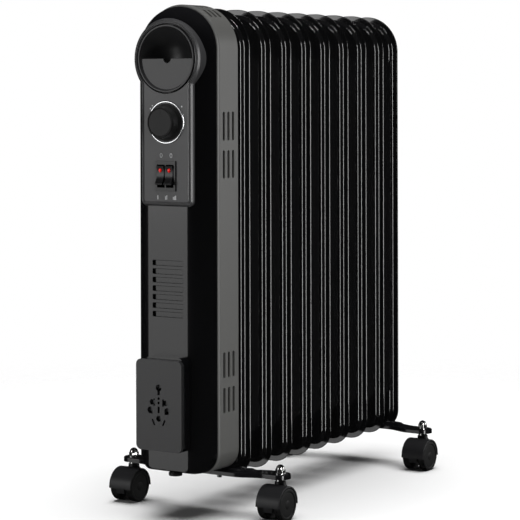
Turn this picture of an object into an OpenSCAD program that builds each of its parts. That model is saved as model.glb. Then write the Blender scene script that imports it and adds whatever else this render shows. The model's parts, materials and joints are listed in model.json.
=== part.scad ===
// Oil filled radiator heater: nine pressed steel fins on two hub lines, an
// electric box with its controls on the near end, and two cross brackets on
// twin-wheel casters. X is the width, Y the length (the controls face -Y), Z up.
// The origin is on the floor, under the middle of the whole heater.

/* [Overall] */
// Height of the top of the electric box above the floor
total_h = 640; // [632:1:646]
// Length from the plug plate to the filler plug
total_l = 550; // [550:1:552]

/* [Fins] */
// Number of fins
fin_count = 9; // [9:1:9]
// Distance from one fin to the next
fin_pitch = 50.5; // [50:0.1:50.6]
// Width of a fin with side wings
fin_w = 112; // [108:1:114]
// Width of the last fin, which has no wings
end_fin_w = 102; // [98:1:106]
// Height of the lowest point of the fins above the floor
fin_bottom = 44; // [42:0.5:46]
// Height of the highest point of the fins above the floor
fin_top = 637; // [632:1:639]
// Radius of the upper corners of a fin
fin_top_r = 53; // [48:1:53]
// Radius of the lower corners of a fin
fin_bottom_r = 27; // [24:1:30]
// Thickness of the welded rim of a fin
rim_t = 1.2; // [1:0.1:1.6]
// Width of the flat rim around the oil chamber
rim_w = 10; // [9:0.5:12]
// Depth of the oil chamber, front to back
chamber_d = 12; // [11:0.5:13]
// Thickness of the sheet steel
sheet_t = 0.8; // [0.7:0.1:1]
// How far the side wings are folded back
wing_d = 21; // [18:1:23]
// Radius of the oil passage through the hubs
passage_r = 17; // [16:0.5:17.5]
// Outer radius of the hub collars
collar_r = 20; // [19:0.5:21]
// Height of the lower hub line above the floor
hub_low_z = 98; // [96:1:100]
// Height of the upper hub line above the floor
hub_high_z = 580; // [574:1:582]

/* [Electric box] */
// Width of the electric box
box_w = 115; // [113:1:117]
// Height of the underside of the electric box above the floor
box_bottom = 57.5; // [57:0.5:60]
// Radius of the lower corners of the electric box
box_corner_r = 26; // [22:1:28]
// Depth of the front cover, and the radius of its rounded sides
cover_d = 28; // [27:0.5:29]
// Depth of the shroud behind the front cover
shroud_d = 44.5; // [44:0.5:45]
// Gap between the shroud and the bend of the first fin
shroud_gap = 29.5; // [29:0.5:30]
// Wall of the plastic mouldings
wall = 2.5; // [2:0.1:2.6]

/* [Controls] */
// Height of the middle of the carry pocket above the floor
pocket_z = 572; // [570:1:574]
// Outer radius of the ring around the carry pocket
bezel_r = 50; // [49:0.5:51]
// Half the width of the straight part of the control panel
panel_half_w = 39; // [38:0.5:40]
// Height of the lower end of the control panel above the floor
panel_bottom = 389; // [386:1:391]
// Height of the thermostat knob above the floor
knob_z = 493; // [491:1:495]
// Radius of the base of the thermostat knob
knob_r = 23; // [22:0.5:23.5]
// Height of the two rocker switches above the floor
switch_z = 426.5; // [425:0.5:428]
// Tilt of a rocker on either side of its middle
rocker_tilt = 9; // [7:0.5:10]

/* [Feet] */
// Distance of the caster stems from the middle plane
stem_x = 112; // [108:1:113]
// Height of the underside of the cross brackets above the floor
bracket_z = 50; // [50:0.5:50]
// Height of the folded edge of a cross bracket
bracket_h = 6; // [5:0.5:6.5]
// Width of a cross bracket, front to back
bracket_w = 26; // [24:0.5:26]
// Radius of a caster wheel
wheel_r = 20; // [20:0.5:20]
// Width of one caster wheel
wheel_w = 10.5; // [10:0.5:10.5]
// How far the wheel axle trails the swivel axis
trail = 9; // [8:0.5:10]

/* [Hidden] */
$fn = 64;

plug_plate_d = 20.5;                       // plug plate and neck, in front of the cover
front_y = -total_l / 2;
face_y = front_y + plug_plate_d;           // flat face of the front cover
seam_y = face_y + cover_d;
shroud_end_y = seam_y + shroud_d;
fin_1_y = shroud_end_y + shroud_gap;       // bend line of the first fin
half_w = box_w / 2;
arch_z = total_h - half_w;                 // centre of the box's round top
chamber_front = rim_t / 2 - chamber_d / 2; // from a fin's bend line
chamber_back = rim_t / 2 + chamber_d / 2;
fin_y = [for (i = [0 : fin_count - 1]) fin_1_y + i * fin_pitch];
clear = 0.15;                              // gap round a piece that drops into another

// panel and knob
panel_proud = 3;
panel_y = face_y - panel_proud;            // front of the control panel
panel_d = 22;                              // depth of its folded edge
panel_t = 2.6;
groove_d = 1.2;
groove_from = 2.6;                         // from the panel's edge
groove_to = 4.8;
pocket_r = 43;                             // hole for the carry pocket
knob_h = 13;
shaft_r = 3;
shaft_hole_r = 4.5;
ring_out_r = 27;
ring_in_r = 24.2;

// rocker switch, about its pivot
pivot_y = panel_y + 2.4;
rocker_x = 6.6;
rocker_w = 10.6;
rocker_half_h = 12;
pin_r = 1.5;
frame_half_w = 14.8;
frame_half_h = 18.7;
frame_proud = 2;
frame_lip_x = 1.4;                         // how far the frame's flange reaches past its box
frame_lip_z = 2;
frame_back_y = panel_y + 27;

// plug plate
plate_half_w = 34;
plate_z = [89, 201];
plate_t = 6;
plate_corner = 7;
plate_groove = [2.4, 1.4];                 // from the plate's back, a groove round its edge
plate_groove_d = 1.2;
neck_x = [-23.5, 32.6];
neck_z = [88, 204.5];
neck_corner = 8;

// cord gland under the front cover
gland_y = face_y + 16;
gland_hole_r = 3.75;
gland_r = 6;
gland_head_r = 8.5;
gland_head_t = 4;
gland_length = 14;

// back plate of the box, and the hub cups that stand it off the first fin
back_plate_y = shroud_end_y - 3.2;
back_plate_t = 1.2;
cup_r = 21.3;
flange_r = 19.5;                          // discs that sit inside the cups

// feet
bow = 11;                                  // how far the bracket's ends sweep
bow_x = [58, 94];                          // where they sweep
bracket_t = 1.8;
stem_y_front = fin_y[0] - 19;
stem_y_rear = fin_y[fin_count - 2] + 9.5;
stem_r = 4;
stem_z = 29;                               // lower end of a stem
stem_collar_r = 6;
bolt_gap = 0.1;
u_bolt_y_front = fin_y[0] - 24;
u_bolt_y_rear = fin_y[fin_count - 2] + 21;
leg_x = 24.5;
leg_r = 3;
leg_end_z = bracket_z - 6.5;
washer_t = 1;
washer_r = 8;
hood_r = wheel_r + 3;
hood_t = 2;
hood_low_z = wheel_r - 1;
web_half_w = 6;
web_low_z = wheel_r - 8;
wheel_gap = 0.5;
wheel_edge = 1.2;
hub_cap_t = 1.7;                           // closes the axle's hole on the outer face
wheel_in_x = web_half_w + wheel_gap;
wheel_out_x = wheel_in_x + wheel_w;
axle_r = 3;
boss_top = bracket_z - 3.5;
boss_low_z = 2 * wheel_r;
boss_r = 7;
collar_gap = 0.3;
swivel_gap = 0.05;

// ---- shapes shared by several pieces

// extrudes a drawing of the X-Z plane from y0 to y1
module along_y(y0, y1) translate([0, y1, 0]) rotate([90, 0, 0]) linear_extrude(y1 - y0) children();

// a cylinder along Y
module rod_y(r, y0, y1, x = 0, z = 0) translate([x, y0, z]) rotate([-90, 0, 0]) cylinder(h = y1 - y0, r = r);

// a cylinder along X
module rod_x(r, x0, x1, y = 0, z = 0) translate([x0, y, z]) rotate([0, 90, 0]) cylinder(h = x1 - x0, r = r);

// upright outline with its own radius at the lower and at the upper corners
module outline(hw, z0, z1, rb, rt) {
    translate([-hw, z0 + rb]) square([2 * hw, z1 - rt - z0 - rb]);
    translate([-(hw - rb), z0]) square([2 * (hw - rb), rb]);
    for (s = [-1, 1]) translate([s * (hw - rb), z0 + rb]) circle(rb);
    if (hw - rt > 0.01) {
        translate([-(hw - rt), z1 - rt]) square([2 * (hw - rt), rt]);
        for (s = [-1, 1]) translate([s * (hw - rt), z1 - rt]) circle(rt);
    } else {
        translate([0, z1 - rt]) circle(rt);
    }
}

module mirrored() {
    children();
    mirror([1, 0, 0]) children();
}

// ---- fins and hubs

wing_z = [fin_bottom + 61, fin_top - 66];   // where the side wings have their full depth
wing_neck = 4;                             // depth where the wing's end begins to taper
wing_step = 5;
wing_taper = 22;

module fin_outline(w, inset)
    outline(w / 2 - inset, fin_bottom + inset, fin_top - inset, fin_bottom_r - inset,
            min(fin_top_r, w / 2) - inset);

// side wing, folded back along the straight part of the fin, with tapered ends
module wing() translate([fin_w / 2 - sheet_t, 0, 0]) rotate([90, 0, 90]) linear_extrude(sheet_t)
    polygon([[0, wing_z[0] - wing_taper], [rim_t, wing_z[0] - wing_taper], [wing_neck, wing_z[0] - wing_step],
             [wing_d, wing_z[0]], [wing_d, wing_z[1]], [wing_neck, wing_z[1] + wing_step],
             [rim_t, wing_z[1] + wing_taper], [0, wing_z[1] + wing_taper]]);

module fin(i) color([0.02, 0.02, 0.022]) translate([0, fin_y[i], 0]) {
    last = i == fin_count - 1;
    w = last ? end_fin_w : fin_w;
    difference() {
        union() {
            along_y(0, rim_t) fin_outline(w, 0);
            along_y(chamber_front, chamber_back) fin_outline(w, rim_w);
            if (!last) mirrored() wing();
        }
        along_y(chamber_front + sheet_t, chamber_back - sheet_t) fin_outline(w, rim_w + sheet_t);
        for (z = [hub_low_z, hub_high_z]) rod_y(passage_r, chamber_front - 1, chamber_back + 1, 0, z);
    }
}

// rings between the fins that close the oil passage
module hub_collars(z) color([0.02, 0.02, 0.022]) for (i = [0 : fin_count - 2]) difference() {
    rod_y(collar_r, fin_y[i] + chamber_back, fin_y[i + 1] + chamber_front, 0, z);
    rod_y(passage_r, fin_y[i], fin_y[i + 1], 0, z);
}

hub_front_y = fin_y[0] + chamber_front;
hub_rear_y = fin_y[fin_count - 1] + chamber_back;
blank_t = 3;
filler_disc_t = 4;
filler_hex_r = 11;

// blank discs on the open hub at the front top and the rear bottom
module hub_plugs() color([0.05, 0.05, 0.052]) {
    rod_y(flange_r, hub_front_y - blank_t, hub_front_y, 0, hub_high_z);
    rod_y(collar_r, hub_rear_y, hub_rear_y + blank_t, 0, hub_low_z);
}

// screwed plug of the oil filling hole, at the rear top
module oil_filler_plug() color([0.05, 0.05, 0.052]) {
    rod_y(collar_r, hub_rear_y, hub_rear_y + filler_disc_t, 0, hub_high_z);
    translate([0, hub_rear_y + filler_disc_t, hub_high_z]) rotate([-90, 0, 0])
        cylinder(h = front_y + total_l - hub_rear_y - filler_disc_t, r = filler_hex_r, $fn = 6);
}

// ---- heating element

rod_r = 3.25;
rod_x_off = 7;
rod_z_off = 6;
flange_t = 4;
spigot_l = 5;                              // part of the flange that goes into the passage
pin_l = 9;                                 // cold ends that stick out of the flange
element_end_y = fin_y[fin_count - 1] - 12;

// two hairpins in the lower oil passage, their cold ends through the flange
module heating_element() color([0.45, 0.3, 0.2]) for (s = [-1, 1]) {
    z = hub_low_z + s * rod_z_off;
    for (t = [-1, 1]) rod_y(rod_r, hub_front_y - flange_t - pin_l, element_end_y, t * rod_x_off, z);
    translate([0, element_end_y, z]) rotate_extrude(angle = 180) translate([rod_x_off, 0]) circle(rod_r);
}

module element_flange() color([0.6, 0.6, 0.58]) difference() {
    union() {
        rod_y(flange_r, hub_front_y - flange_t, hub_front_y, 0, hub_low_z);
        rod_y(passage_r - clear, hub_front_y, hub_front_y + spigot_l, 0, hub_low_z);
    }
    for (s = [-1, 1], t = [-1, 1])
        rod_y(rod_r + swivel_gap, hub_front_y - flange_t - 1, hub_front_y + spigot_l + 1,
              t * rod_x_off, hub_low_z + s * rod_z_off);
}

// ---- electric box

// section of the front cover: a flat face and two rounded sides
module cover_section(inset) {
    r = cover_d - inset;
    hw = half_w - inset;
    flat_hw = half_w - cover_d;
    translate([-flat_hw, face_y + inset]) square([2 * flat_hw, r]);
    for (s = [-1, 1]) intersection() {
        translate([s * flat_hw, seam_y]) circle(r);
        translate([s > 0 ? flat_hw : -hw, face_y + inset]) square([r, r]);
    }
}

// right half of the same section, for the round top
module cover_half_section(inset) {
    r = cover_d - inset;
    flat_hw = half_w - cover_d;
    translate([0, -r]) square([flat_hw, r]);
    intersection() {
        translate([flat_hw, 0]) circle(r);
        translate([flat_hw, -r]) square([r, r]);
    }
}

module cover_form(inset, z0) {
    translate([0, 0, z0]) linear_extrude(arch_z - z0) cover_section(inset);
    translate([0, seam_y, arch_z]) rotate([90, 0, 0]) rotate_extrude(angle = 180) mirror([0, 1]) cover_half_section(inset);
}

panel_corner = 8;

// keyhole outline of the control panel
module panel_outline(inset) {
    corner = panel_corner - inset;
    hw = panel_half_w - inset;
    translate([0, pocket_z]) circle(bezel_r - inset);
    translate([-hw, panel_bottom + inset + corner]) square([2 * hw, pocket_z - panel_bottom - inset - corner]);
    translate([-(hw - corner), panel_bottom + inset]) square([2 * (hw - corner), corner]);
    for (s = [-1, 1]) translate([s * (hw - corner), panel_bottom + inset + corner]) circle(corner);
}

vent_z = 255;
vent_pitch = 10.6;
vent_count = 7;
vent_w = 45;
vent_h = 6;
vent_d = 3.5;
vent_back_t = 6;                           // wall behind the louvres
vent_back_border = 4.5;
neck_screw_z = [108, 184];
screw_hole_r = 2;

module front_cover() color([0.035, 0.035, 0.037]) difference() {
    intersection() {
        cover_form(0, box_bottom);
        along_y(face_y - 1, seam_y + 1) outline(half_w + 0.01, box_bottom, total_h + 1, box_corner_r, half_w);
    }
    difference() {
        intersection() {
            cover_form(wall, box_bottom + wall);
            along_y(face_y, seam_y + 1)
                outline(half_w - wall + 0.01, box_bottom + wall, total_h + 1, box_corner_r - wall, half_w - wall);
        }
        // thicker wall behind the louvres
        translate([-vent_w / 2 - vent_back_border, face_y, vent_z - vent_h / 2 - vent_back_border])
            cube([vent_w + 2 * vent_back_border, vent_back_t,
                  (vent_count - 1) * vent_pitch + vent_h + 2 * vent_back_border]);
    }
    along_y(face_y - 1, seam_y - 1) panel_outline(-clear);
    for (i = [0 : vent_count - 1])
        translate([-vent_w / 2, face_y - 1, vent_z - vent_h / 2 + i * vent_pitch]) cube([vent_w, vent_d + 1, vent_h]);
    for (z = neck_screw_z) rod_y(screw_hole_r, face_y - 1, face_y + wall + 1, 0, z);
    translate([0, gland_y, box_bottom - 1]) cylinder(h = wall + 2, r = gland_r + clear);
}

side_slots = [[132, 31.5], [175.5, 32], [423, 35], [470, 36]]; // lower end and height
slot_w = 5;
slot_pitch = 10.5;
slot_y = (seam_y + shroud_end_y - slot_w) / 2;
arch_slot_angles = [-36, -12, 12, 36];
arch_slot_l = 16;
shroud_wall = 2;

module shroud() color([0.11, 0.11, 0.108]) difference() {
    along_y(seam_y, shroud_end_y) outline(half_w, box_bottom, total_h, box_corner_r, half_w);
    along_y(seam_y - 1, shroud_end_y + 1)
        outline(half_w - shroud_wall, box_bottom + shroud_wall, total_h - shroud_wall,
                box_corner_r - shroud_wall, half_w - shroud_wall);
    for (slot = side_slots, i = [-1 : 1])
        translate([-half_w - 1, slot_y + i * slot_pitch, slot[0]]) cube([box_w + 2, slot_w, slot[1]]);
    // louvres over the round top
    for (a = arch_slot_angles, i = [-1 : 1])
        translate([0, slot_y + i * slot_pitch, arch_z]) rotate([0, a, 0])
            translate([-arch_slot_l / 2, 0, half_w - 3 * shroud_wall]) cube([arch_slot_l, slot_w, 4 * shroud_wall]);
}

// pressed steel plate with two cups that bolt it to the first fin's hubs
module back_plate() color([0.5, 0.5, 0.5]) difference() {
    inset = shroud_wall + clear;
    union() {
        along_y(back_plate_y, back_plate_y + back_plate_t)
            outline(half_w - inset, box_bottom + inset, total_h - inset, box_corner_r - inset, half_w - inset);
        for (z = [hub_low_z, hub_high_z]) rod_y(cup_r, back_plate_y, hub_front_y, 0, z);
    }
    for (z = [hub_low_z, hub_high_z]) rod_y(cup_r - back_plate_t, back_plate_y - 1, hub_front_y + 1, 0, z);
}

// ---- controls

module control_panel() color([0.1, 0.1, 0.102]) difference() {
    along_y(panel_y, panel_y + panel_d) panel_outline(0);
    along_y(panel_y + panel_t, panel_y + panel_d + 1) panel_outline(panel_t);
    // double rim: a groove that follows the edge
    difference() {
        along_y(panel_y - 1, panel_y + groove_d) panel_outline(groove_from);
        along_y(panel_y - 2, panel_y + groove_d + 1) panel_outline(groove_to);
    }
    rod_y(pocket_r, panel_y - 1, panel_y + panel_t + 1, 0, pocket_z);
    rod_y(shaft_hole_r, panel_y - 1, panel_y + panel_t + 1, 0, knob_z);
    frame_opening(clear, panel_y - 1, panel_y + panel_t + 1);
}

bowl_r = 44;
bowl_back = 19.5;                          // centre of the bowl's sphere, in front of the panel
bowl_wall = 2.4;
lip_r = 39.5;
cover_plate_y = panel_y + 2;
cover_plate_t = 2.4;
pocket_rim_d = 6;                          // depth of the rim round the bowl
notch_r = 5.5;
screw_drop = 5;                            // from the middle of the pocket down to its screw
screw_r = 1.5;
screw_y = panel_y - bowl_back + sqrt(bowl_r * bowl_r - screw_drop * screw_drop);

// carry pocket: a round bowl whose lower half lies behind a flat plate
module handle_pocket() color([0.09, 0.09, 0.095]) difference() {
    union() {
        intersection() {
            translate([0, panel_y - bowl_back, pocket_z]) sphere(bowl_r + bowl_wall, $fn = 96);
            rod_y(pocket_r - clear, panel_y - 1, panel_y + bowl_r, 0, pocket_z);
        }
        rod_y(pocket_r - clear, panel_y - 1, panel_y + pocket_rim_d, 0, pocket_z);
    }
    difference() {
        intersection() {
            translate([0, panel_y - bowl_back, pocket_z]) sphere(bowl_r, $fn = 96);
            rod_y(lip_r, panel_y - 2, panel_y + bowl_r, 0, pocket_z);
        }
        // flat plate over the lower half
        translate([-pocket_r, cover_plate_y, pocket_z - pocket_r]) cube([2 * pocket_r, cover_plate_t, pocket_r]);
    }
    rod_y(notch_r, cover_plate_y - 1, cover_plate_y + cover_plate_t + 1, 0, pocket_z);
    rod_y(screw_r + swivel_gap, screw_y - 4, screw_y + 6, 0, pocket_z - screw_drop);
}

screw_head_r = 3.2;
screw_head_y = [screw_y - 3, screw_y - 0.8];
screw_end_y = screw_y + 7;

// the screw that shows through the notch in the flat plate
module handle_screw() color([0.75, 0.75, 0.74]) {
    rod_y(screw_head_r, screw_head_y[0], screw_head_y[1], 0, pocket_z - screw_drop);
    rod_y(screw_r, screw_head_y[1], screw_end_y, 0, pocket_z - screw_drop);
}

module knob_ring() color([0.85, 0.86, 0.88]) along_y(panel_y - 1, panel_y) translate([0, knob_z]) difference() {
    circle(ring_out_r);
    circle(ring_in_r);
}

knob_gap = 0.6;
knob_skirt_h = 1.6;
knob_edge = 1.2;
knob_face_r = knob_r - 4.6;
knob_bore_d = 8;
pointer_w = 1.6;
pointer_l = 6;
pointer_d = 0.8;

module thermostat_knob() color([0.06, 0.06, 0.062]) translate([0, panel_y - knob_gap, knob_z]) rotate([90, 0, 0])
    difference() {
        rotate_extrude() polygon([[0, 0], [knob_r, 0], [knob_r, knob_skirt_h],
                                  [knob_r - knob_edge, knob_skirt_h + 1],
                                  [knob_face_r + knob_edge, knob_h - knob_edge], [knob_face_r, knob_h], [0, knob_h]]);
        translate([0, 0, -1]) cylinder(h = knob_bore_d + 1, r = shaft_r);
        // pointer notch in the rim
        translate([-pointer_w / 2, knob_r - pointer_l - 2, knob_h - pointer_d])
            cube([pointer_w, pointer_l, pointer_d + 1]);
    }

thermostat_y = panel_y + 9;
thermostat_size = [32, 22, 28];
thermostat_neck_r = 6;
shaft_end_y = panel_y + 22;

module thermostat_shaft() color([0.7, 0.7, 0.68])
    rod_y(shaft_r, panel_y - knob_gap - knob_bore_d, shaft_end_y, 0, knob_z);

module thermostat_body() color([0.72, 0.68, 0.6]) difference() {
    union() {
        translate([-thermostat_size[0] / 2, thermostat_y, knob_z - thermostat_size[2] / 2]) cube(thermostat_size);
        rod_y(thermostat_neck_r, panel_y + panel_t, thermostat_y, 0, knob_z);
    }
    rod_y(shaft_r + swivel_gap, panel_y, shaft_end_y + 0.5, 0, knob_z);
}

// box of the switches' frame, with a gap all round it
module frame_opening(gap, y0, y1)
    translate([-frame_half_w + frame_lip_x - gap, y0, switch_z - frame_half_h + frame_lip_z - gap])
        cube([2 * (frame_half_w - frame_lip_x + gap), y1 - y0, 2 * (frame_half_h - frame_lip_z + gap)]);

rocker_side_gap = 0.4;
rocker_end_gap = 2.2;
rocker_room = 12;                          // depth left for a rocker behind the panel's front
pin_reach = 0.75;

module switch_frame() color([0.045, 0.045, 0.047]) difference() {
    union() {
        translate([-frame_half_w, panel_y - frame_proud, switch_z - frame_half_h])
            cube([2 * frame_half_w, frame_proud, 2 * frame_half_h]);
        frame_opening(0, panel_y - 0.5, frame_back_y);
    }
    for (s = [-1, 1]) {
        translate([s * rocker_x - rocker_w / 2 - rocker_side_gap, panel_y - frame_proud - 1,
                   switch_z - rocker_half_h - rocker_end_gap])
            cube([rocker_w + 2 * rocker_side_gap, frame_proud + rocker_room, 2 * (rocker_half_h + rocker_end_gap)]);
        rod_x(pin_r + swivel_gap, s * rocker_x - rocker_w / 2 - pin_reach - rocker_side_gap,
              s * rocker_x + rocker_w / 2 + pin_reach + rocker_side_gap, pivot_y, switch_z);
    }
}

lens_r = 2;
lens_z = 6.5;                              // above the rocker's pivot
lens_y = [-7.8, -4.5];                     // from the rocker's pivot

// rocker drawn upright about its pivot; the switched-off position leans it
module rocker(s) color([0.05, 0.05, 0.052]) translate([s * rocker_x, pivot_y, switch_z]) rotate([-rocker_tilt, 0, 0])
    difference() {
        union() {
            translate([-rocker_w / 2, 0, 0]) rotate([90, 0, 90]) linear_extrude(rocker_w)
                polygon([[4, -5], [2.5, -rocker_half_h + 1], [-8, -rocker_half_h], [-8.6, -rocker_half_h + 1.5],
                         [-6.2, -5], [-5.6, 0], [-6.2, 5],
                         [-8.6, rocker_half_h - 1.5], [-8, rocker_half_h], [2.5, rocker_half_h - 1], [4, 5]]);
            rod_x(pin_r, -rocker_w / 2 - pin_reach, rocker_w / 2 + pin_reach);
        }
        rod_y(lens_r, 2 * lens_y[0], lens_y[1], 0, lens_z);
    }

module lens(s) color([0.75, 0.03, 0.03]) translate([s * rocker_x, pivot_y, switch_z]) rotate([-rocker_tilt, 0, 0])
    rod_y(lens_r, lens_y[0], lens_y[1], 0, lens_z);

cutout_z = 300;
cutout_cap_r = 10;
cutout_cap_t = 4;
cutout_r = 6;
cutout_l = 12;

module thermal_cutout() color([0.5, 0.42, 0.3]) {
    rod_y(cutout_cap_r, back_plate_y - cutout_cap_t, back_plate_y, 0, cutout_z);
    rod_y(cutout_r, back_plate_y - cutout_l, back_plate_y - cutout_cap_t, 0, cutout_z);
}

terminal_z = 200;
terminal_size = [48, 20, 26];
terminal_pitch = 15;
terminal_hole_r = 3;
terminal_hole_d = 11;

module terminal_block() color([0.85, 0.84, 0.8]) difference() {
    translate([-terminal_size[0] / 2, back_plate_y - terminal_size[1], terminal_z]) cube(terminal_size);
    for (i = [-1 : 1])
        rod_y(terminal_hole_r, back_plate_y - terminal_size[1] - 1,
              back_plate_y - terminal_size[1] + terminal_hole_d, i * terminal_pitch, terminal_z + terminal_size[2] / 2);
}

module cord_gland() color([0.03, 0.03, 0.03]) translate([0, gland_y, 0]) difference() {
    union() {
        translate([0, 0, box_bottom - gland_head_t]) cylinder(h = gland_head_t, r = gland_head_r);
        translate([0, 0, box_bottom - 0.5]) cylinder(h = gland_length - gland_head_t + 0.5, r = gland_r);
    }
    translate([0, 0, box_bottom - gland_head_t - 1]) cylinder(h = gland_length + 2, r = gland_hole_r);
}

// ---- plug plate

module slot_cut(x0, z0, x1, z1, w) {
    length = norm([x1 - x0, z1 - z0]);
    translate([(x0 + x1) / 2, 0, (z0 + z1) / 2]) rotate([0, -atan2(z1 - z0, x1 - x0), 0])
        translate([-length / 2, 0, -w / 2]) cube([length, 8, w]);
}

module plate_outline(inset)
    outline(plate_half_w - inset, plate_z[0] + inset, plate_z[1] - inset, plate_corner - inset, plate_corner - inset);

module wrap_plate() color([0.07, 0.07, 0.072]) difference() {
    union() {
        along_y(front_y, front_y + plate_t - plate_groove[0]) plate_outline(0);
        along_y(front_y + plate_t - plate_groove[0], front_y + plate_t - plate_groove[1])
            plate_outline(plate_groove_d);
        along_y(front_y + plate_t - plate_groove[1], front_y + plate_t) plate_outline(0);
    }
    // holes that take the pins of a parked plug
    translate([0, front_y - 1, 0]) {
        rod_y(4.2, 0, 5, 0, 166.7);
        slot_cut(0, 158, 0, 166, 3.6);
        for (z = [153.7, 148.3]) rod_y(1.7, 0, 5, 0, z);
        slot_cut(0, 135.7, 0, 143.7, 3);
        rod_y(3.7, 0, 5, 0, 128.9);
        for (s = [-1, 1]) {
            rod_y(3.4, 0, 5, s * 10, 148.8);
            slot_cut(s * 6.6, 144.4, s * 6.6, 153.2, 2.4);
            rod_y(4.1, 0, 5, s * 12.7, 138.8);
            slot_cut(s * 9, 136, s * 12, 136, 3.2);
            slot_cut(s * 6, 120.6, s * 9.5, 127.8, 2.3);
        }
    }
}

module neck_outline(inset) translate([(neck_x[0] + neck_x[1]) / 2, 0])
    outline((neck_x[1] - neck_x[0]) / 2 - inset, neck_z[0] + inset, neck_z[1] - inset,
            neck_corner - inset, neck_corner - inset);

// block that the plate stands on
module wrap_neck() color([0.02, 0.02, 0.022]) difference() {
    along_y(front_y + plate_t, face_y) neck_outline(0);
    along_y(front_y + plate_t + wall, face_y + 1) neck_outline(wall);
    for (z = neck_screw_z) rod_y(screw_hole_r, front_y, face_y, 0, z);
}

module cover_screws() color([0.5, 0.5, 0.5]) for (z = neck_screw_z) {
    rod_y(2 * screw_hole_r, face_y + wall, face_y + 2 * wall, 0, z);
    rod_y(screw_hole_r - clear, front_y + plate_t, face_y + wall, 0, z);
}

// ---- feet

// plan of a cross bracket: its ends sweep by bow, towards -Y
module bracket_plan(inset) {
    w = bracket_w / 2 - inset;
    right = [[bow_x[0], bow - w], [bow_x[1], -w], [stem_x, -w], [stem_x, w], [bow_x[1], w], [bow_x[0], bow + w]];
    left = [for (i = [5 : -1 : 0]) [-right[i][0], right[i][1]]];
    polygon(concat(right, left));
    for (s = [-1, 1]) translate([s * stem_x, 0]) circle(w);
}

// inverted channel with rounded ends
module bracket() color([0.03, 0.03, 0.032]) difference() {
    translate([0, 0, bracket_z]) linear_extrude(bracket_h) bracket_plan(0);
    translate([0, 0, bracket_z - 1]) linear_extrude(bracket_h - bracket_t + 1) bracket_plan(bracket_t);
    mirrored() translate([stem_x, 0, bracket_z - 1]) cylinder(h = bracket_h + 3, r = stem_r + bolt_gap);
}

module front_bracket() difference() {
    translate([0, stem_y_front, 0]) mirror([0, 1, 0]) bracket();
    mirrored() translate([leg_x, u_bolt_y_front, 0]) cylinder(h = hub_low_z, r = leg_r + bolt_gap);
}

module rear_bracket() difference() {
    translate([0, stem_y_rear, 0]) bracket();
    mirrored() translate([leg_x, u_bolt_y_rear, 0]) cylinder(h = hub_low_z, r = leg_r + bolt_gap);
}

// U-bolts over the lower hub line, their legs down through the brackets
module u_bolt(y) {
    translate([0, y, hub_low_z]) rotate([90, 0, 0]) rotate_extrude(angle = 180) translate([leg_x, 0]) circle(leg_r);
    mirrored() translate([leg_x, y, leg_end_z]) cylinder(h = hub_low_z - leg_end_z, r = leg_r);
}

module u_bolts() color([0.6, 0.6, 0.6]) {
    u_bolt(u_bolt_y_front);
    u_bolt(u_bolt_y_rear);
}

bracket_roof = bracket_z + bracket_h - bracket_t; // underside of the channel's top
nut_h = 5;
nut_r = 5.6;

module u_bolt_nuts() color([0.7, 0.7, 0.7]) for (y = [u_bolt_y_front, u_bolt_y_rear]) mirrored()
    translate([leg_x, y, bracket_roof - nut_h]) difference() {
        cylinder(h = nut_h, r = nut_r, $fn = 6);
        translate([0, 0, -1]) cylinder(h = nut_h + 2, r = leg_r);
    }

module at_stems() for (y = [stem_y_front, stem_y_rear]) mirrored() translate([stem_x, y, 0]) children();

module washers() color([0.75, 0.75, 0.75]) at_stems() translate([0, 0, bracket_z + bracket_h]) difference() {
    cylinder(h = washer_t, r = washer_r);
    translate([0, 0, -1]) cylinder(h = washer_t + 2, r = stem_r + bolt_gap);
}

acorn_z = bracket_z + bracket_h + washer_t;
acorn_hex_h = 4.5;
acorn_hex_r = 6.6;
acorn_dome_r = 5.6;
acorn_bore_d = 5;

module acorn_nuts() color([0.85, 0.85, 0.85]) at_stems() translate([0, 0, acorn_z]) difference() {
    union() {
        cylinder(h = acorn_hex_h, r = acorn_hex_r, $fn = 6);
        translate([0, 0, acorn_hex_h]) intersection() {
            sphere(acorn_dome_r, $fn = 48);
            cylinder(h = acorn_dome_r + 1, r = acorn_dome_r + 1);
        }
    }
    translate([0, 0, -1]) cylinder(h = acorn_bore_d + 1, r = stem_r);
}

// threaded stem with a collar under the bracket; the hood turns on its lower end
module caster_stems() color([0.75, 0.75, 0.75]) at_stems() {
    translate([0, 0, stem_z]) cylinder(h = acorn_z + acorn_bore_d - stem_z, r = stem_r);
    translate([0, 0, boss_top + collar_gap]) cylinder(h = bracket_roof - boss_top - collar_gap, r = stem_collar_r);
}

// drawings of a caster are about its stem; the wheels trail towards -Y
module caster(s, t) translate([s * stem_x, t < 0 ? stem_y_front : stem_y_rear, 0]) children();

module hood(s, t) color([0.05, 0.05, 0.052]) caster(s, t) difference() {
    union() {
        // roof over both wheels
        difference() {
            rod_x(hood_r, -wheel_out_x, wheel_out_x, -trail, wheel_r);
            rod_x(hood_r - hood_t, -wheel_out_x - 1, wheel_out_x + 1, -trail, wheel_r);
            translate([-wheel_out_x - 1, -trail - hood_r - 1, -hood_r])
                cube([2 * wheel_out_x + 2, 2 * hood_r + 2, hood_r + hood_low_z]);
        }
        // web between the wheels
        difference() {
            rod_x(hood_r - 1, -web_half_w, web_half_w, -trail, wheel_r);
            translate([-web_half_w - 1, -trail - hood_r, -hood_r])
                cube([2 * web_half_w + 2, 2 * hood_r, hood_r + web_low_z]);
        }
        translate([0, 0, boss_low_z]) cylinder(h = boss_top - boss_low_z, r = boss_r);
    }
    translate([0, 0, stem_z - 1]) cylinder(h = boss_top, r = stem_r + swivel_gap);
    rod_x(axle_r, -web_half_w - 1, web_half_w + 1, -trail, wheel_r);
}

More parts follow.
